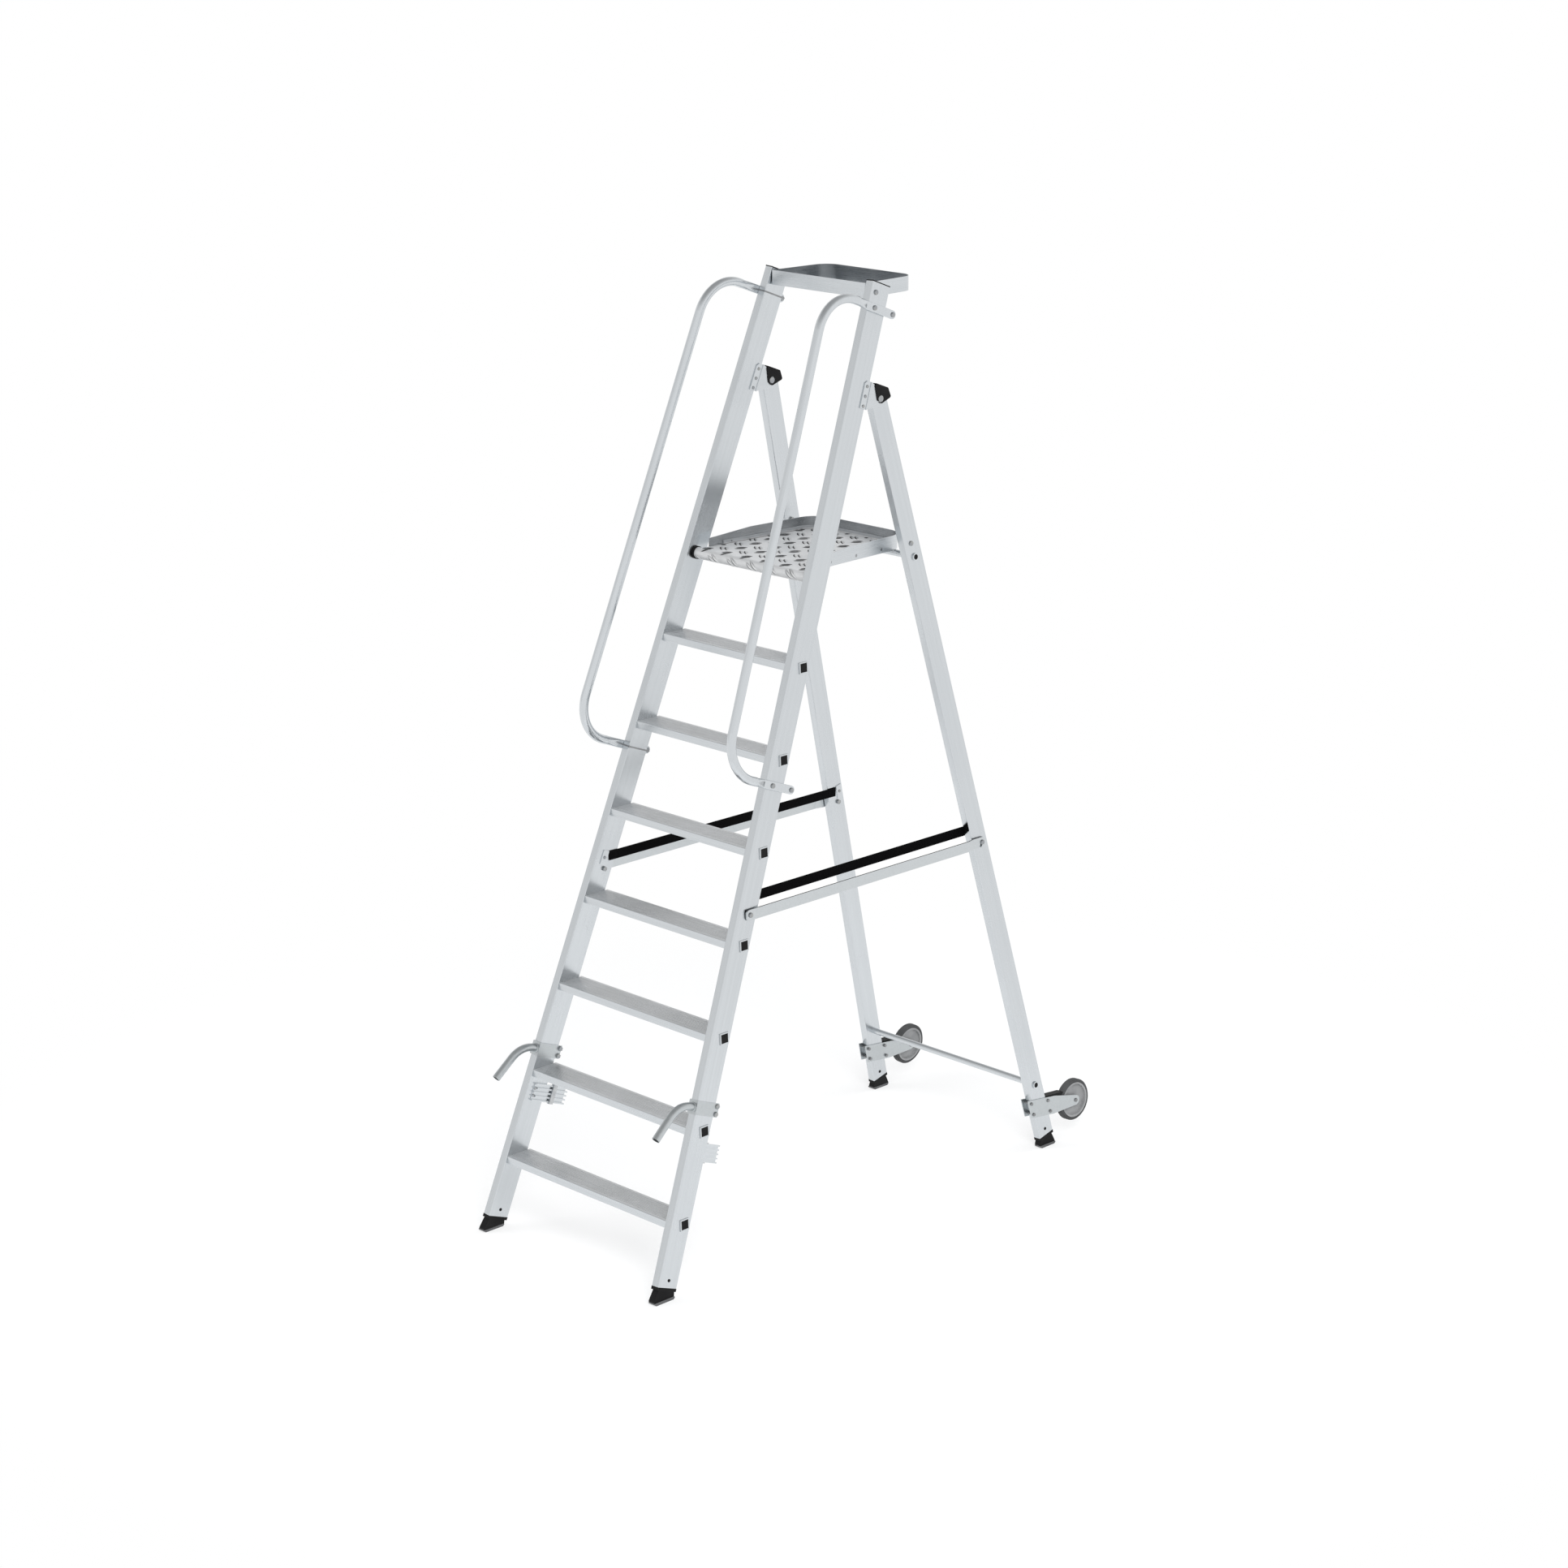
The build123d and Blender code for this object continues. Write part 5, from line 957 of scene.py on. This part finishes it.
def galvanised_material(name, deep, light, cut=None):
    """Zinc crystals: a Voronoi cell's own random value sets tone and roughness between two greys. A colour
    given as cut is painted on the faces that look up, as shade."""
    material, tree, shader, place = new_material(name, metallic=1.0)
    cells = node(tree, "ShaderNodeTexVoronoi", {"Vector": place, "Scale": 150.0})
    grey = node(tree, "ShaderNodeSeparateColor", {0: cells.outputs["Color"]}).outputs[0]
    marks = use_group(tree, handling_marks, {"Vector": place, "Scale": 14.0})
    tone = blend_colours(tree, grey, deep, light)
    tone = blend_colours(tree, marks["Specks"], tone, scaled(deep, 0.9))
    tone = rub_edges(tree, tone, scaled(light, 1.12), width=0.001)
    # Painted shade on the faces that look up.
    if cut:
        own = node(tree, "ShaderNodeTexCoord").outputs["Normal"]
        upward = remap(tree, part_of(tree, own, "Z"), (0.5, 0.8))
        tone = blend_colours(tree, upward, tone, cut)
    set_surface(tree, shader, tone, remap(tree, grey, (0.0, 1.0), (0.28, 0.38)))
    raise_bumps(tree, shader, cells.outputs["Distance"], strength=0.05, distance=0.0002)
    return material


def plated_material(name, dark, light, roughness):
    """Plated or drawn steel with a cloudy tone between two colours and rubbed edges."""
    material, tree, shader, place = new_material(name, metallic=1.0)
    marks = use_group(tree, handling_marks, {"Vector": place, "Scale": 60.0})
    tone = blend_colours(tree, marks["Marks"], dark, light)
    tone = rub_edges(tree, tone, scaled(light, 1.25), width=0.0006)
    set_surface(tree, shader, tone, remap(tree, marks["Marks"], (0.0, 1.0), roughness))
    raise_bumps(tree, shader, marks["Specks"], strength=0.15, distance=0.00005)
    return material


galvanised = galvanised_material("galvanised", (0.520, 0.550, 0.562), (0.560, 0.588, 0.600))
brace_finish = galvanised_material(
    "galvanised_strip", (0.595, 0.625, 0.640), (0.625, 0.655, 0.670), BRACE_TOP_SHADE
)
# Darker steel for the axles and wheel bolts; on the rail clips the same dark tone is painted shade for their
# thin edge.
dark_steel_and_shade = plated_material("dark_steel_and_shade", (0.26, 0.265, 0.27), (0.34, 0.345, 0.35), (0.30, 0.45))
zinc = plated_material("zinc_plate", (0.33, 0.345, 0.365), (0.43, 0.435, 0.425), (0.24, 0.38))
spring = plated_material("spring_wire", (0.46, 0.475, 0.49), (0.56, 0.575, 0.58), (0.26, 0.38))
for weld in welds:
    weld.data.materials.append(galvanised)
print("steel materials: 5")

# %% [markdown]
# ## Plastic and rubber
# Caps, plugs, shoes and covers are moulded in black plastic with a fine leather-like grain, the soles and
# tyres are rubber and the hubs grey plastic. They differ in colour, grain size and gloss, so one function
# makes them all, and the sewing thread later.

# %% Moulded materials
def moulded_material(name, deep, light, grain, roughness, height=0.0001, gloss=0.2):
    """Moulded plastic or rubber: grain as height, a cloudy tone, and edges a little lighter from handling."""
    material, tree, shader, place = new_material(name)
    shader.inputs["Specular IOR Level"].default_value = gloss
    texture = use_group(tree, moulded_grain, {"Vector": place, "Scale": grain})
    tone = blend_colours(tree, texture["Cloud"], deep, light)
    rubbed = tuple(1.5 * value + 0.01 for value in light)
    tone = rub_edges(tree, tone, rubbed, width=0.0008)
    set_surface(tree, shader, tone, remap(tree, texture["Grain"], (0.1, 0.6), roughness))
    raise_bumps(tree, shader, texture["Grain"], strength=0.35, distance=height)
    return material


black_plastic = moulded_material(
    "black_moulding", (0.0035, 0.0035, 0.0038), (0.0065, 0.0065, 0.0068),
    grain=900.0, roughness=(0.38, 0.55), gloss=0.15,
)
sole_rubber = moulded_material(
    "sole_rubber", (0.100, 0.101, 0.104), (0.130, 0.131, 0.134),
    grain=700.0, roughness=(0.60, 0.80), height=0.0002,
)
tyre_rubber = moulded_material(
    "tyre_rubber", (0.058, 0.059, 0.060), (0.078, 0.079, 0.081),
    grain=700.0, roughness=(0.55, 0.75), height=0.0002,
)
hub_plastic = moulded_material(
    "hub_moulding", (0.255, 0.258, 0.262), (0.300, 0.303, 0.307),
    grain=900.0, roughness=(0.38, 0.52), gloss=0.3,
)
print("moulded materials: 4")

# %% [markdown]
# ## Webbing
# The bands are plain-woven polyester: ribs run across the band and threads along it. The product of two waves
# on the band's own UV map gives the weave its height, and the gaps between the threads are painted darker as
# shade. The map is in metres, so a rib's width is a real size.

# %% Webbing material
RIB_WIDTH = 0.0016
THREAD_WIDTH = 0.0011
WEAVE_GAP_SHADE = (0.0015, 0.0015, 0.0017)
WEAVE_TOP = (0.0045, 0.0045, 0.0048)
WEAVE_DUST = (0.003, 0.003, 0.0033)
WEAVE_GLOSS = 0.03


def webbing_material():
    """Woven band: height is the product of two sine waves, one along and one across the band."""
    material, tree, shader, place = new_material("black_weave")
    shader.inputs["Specular IOR Level"].default_value = WEAVE_GLOSS
    uv = node(tree, "ShaderNodeUVMap", uv_map="weave").outputs[0]
    waves = []
    for letter, width in (("X", RIB_WIDTH), ("Y", THREAD_WIDTH)):
        turn = calculate(tree, "MULTIPLY", part_of(tree, uv, letter), 2 * np.pi / width)
        waves.append(calculate(tree, "SINE", turn))
    height = remap(tree, calculate(tree, "MULTIPLY", *waves), (-1.0, 1.0))
    cloud = use_group(tree, moulded_grain, {"Vector": place, "Scale": 600.0})
    # Painted shade: the low gaps of the weave are darker.
    tone = blend_colours(tree, height, WEAVE_GAP_SHADE, WEAVE_TOP)
    tone = blend_colours(tree, cloud["Cloud"], tone, WEAVE_DUST)
    set_surface(tree, shader, tone, remap(tree, height, (0.0, 1.0), (0.95, 0.72)))
    raise_bumps(tree, shader, height, strength=0.6, distance=0.0003)
    return material


weave = webbing_material()
for band in (*webbing.values(), tail):
    band.data.materials.append(weave)
thread = moulded_material(
    "sewing_thread", (0.016, 0.016, 0.017), (0.030, 0.030, 0.031),
    grain=2500.0, roughness=(0.5, 0.7),
)
for seam in stitches:
    seam.data.materials.append(thread)
print("webbing and thread materials made")

# %% [markdown]
# ## Give every CAD node its finish
# The imported record says which material slot each node belongs to. Most nodes take the finish of their slot,
# and the aluminium ones take the finish that fits how they were made: extruded along their own direction,
# ribbed, or bent from sheet. The braces are a lighter steel with painted shade on their upward faces, and a
# few fittings a darker one, which on the rail clips is painted shade for their thin edge.

# %% Assign the finishes
slot_finish = {
    "aluminium": plate_finish,
    "chequer_plate": chequer_sheet,
    "galvanised_steel": galvanised,
    "zinc_fasteners": zinc,
    "spring_steel": spring,
    "black_plastic": black_plastic,
    "grey_sole": sole_rubber,
    "grey_tyre": tyre_rubber,
    "grey_hub": hub_plastic,
    "black_webbing": weave,
}
own_finish = {**stile_finish, "tool_tray": tray_finish, "toe_board": toe_finish}
step_nodes = [name for name in nodes if name.startswith("step_") and name != "step_plugs"]
for finish, names in (
    (tread_finish, step_nodes),
    (rail_finish, ("handrail_left", "handrail_right")),
    (bar_finish, ("lower_crossbar", "upper_crossbar")),
    (brace_finish, ("brace_left", "brace_right")),
    (dark_steel_and_shade, ("handrail_clips", "axles", "wheel_bolts")),
):
    own_finish.update(dict.fromkeys(names, finish))
for name, piece in nodes.items():
    piece.data.materials.clear()
    piece.data.materials.append(own_finish.get(name, slot_finish[slot_of[name]]))
print("finishes given to", len(nodes), "nodes,", len(own_finish), "of them apart from their slot")
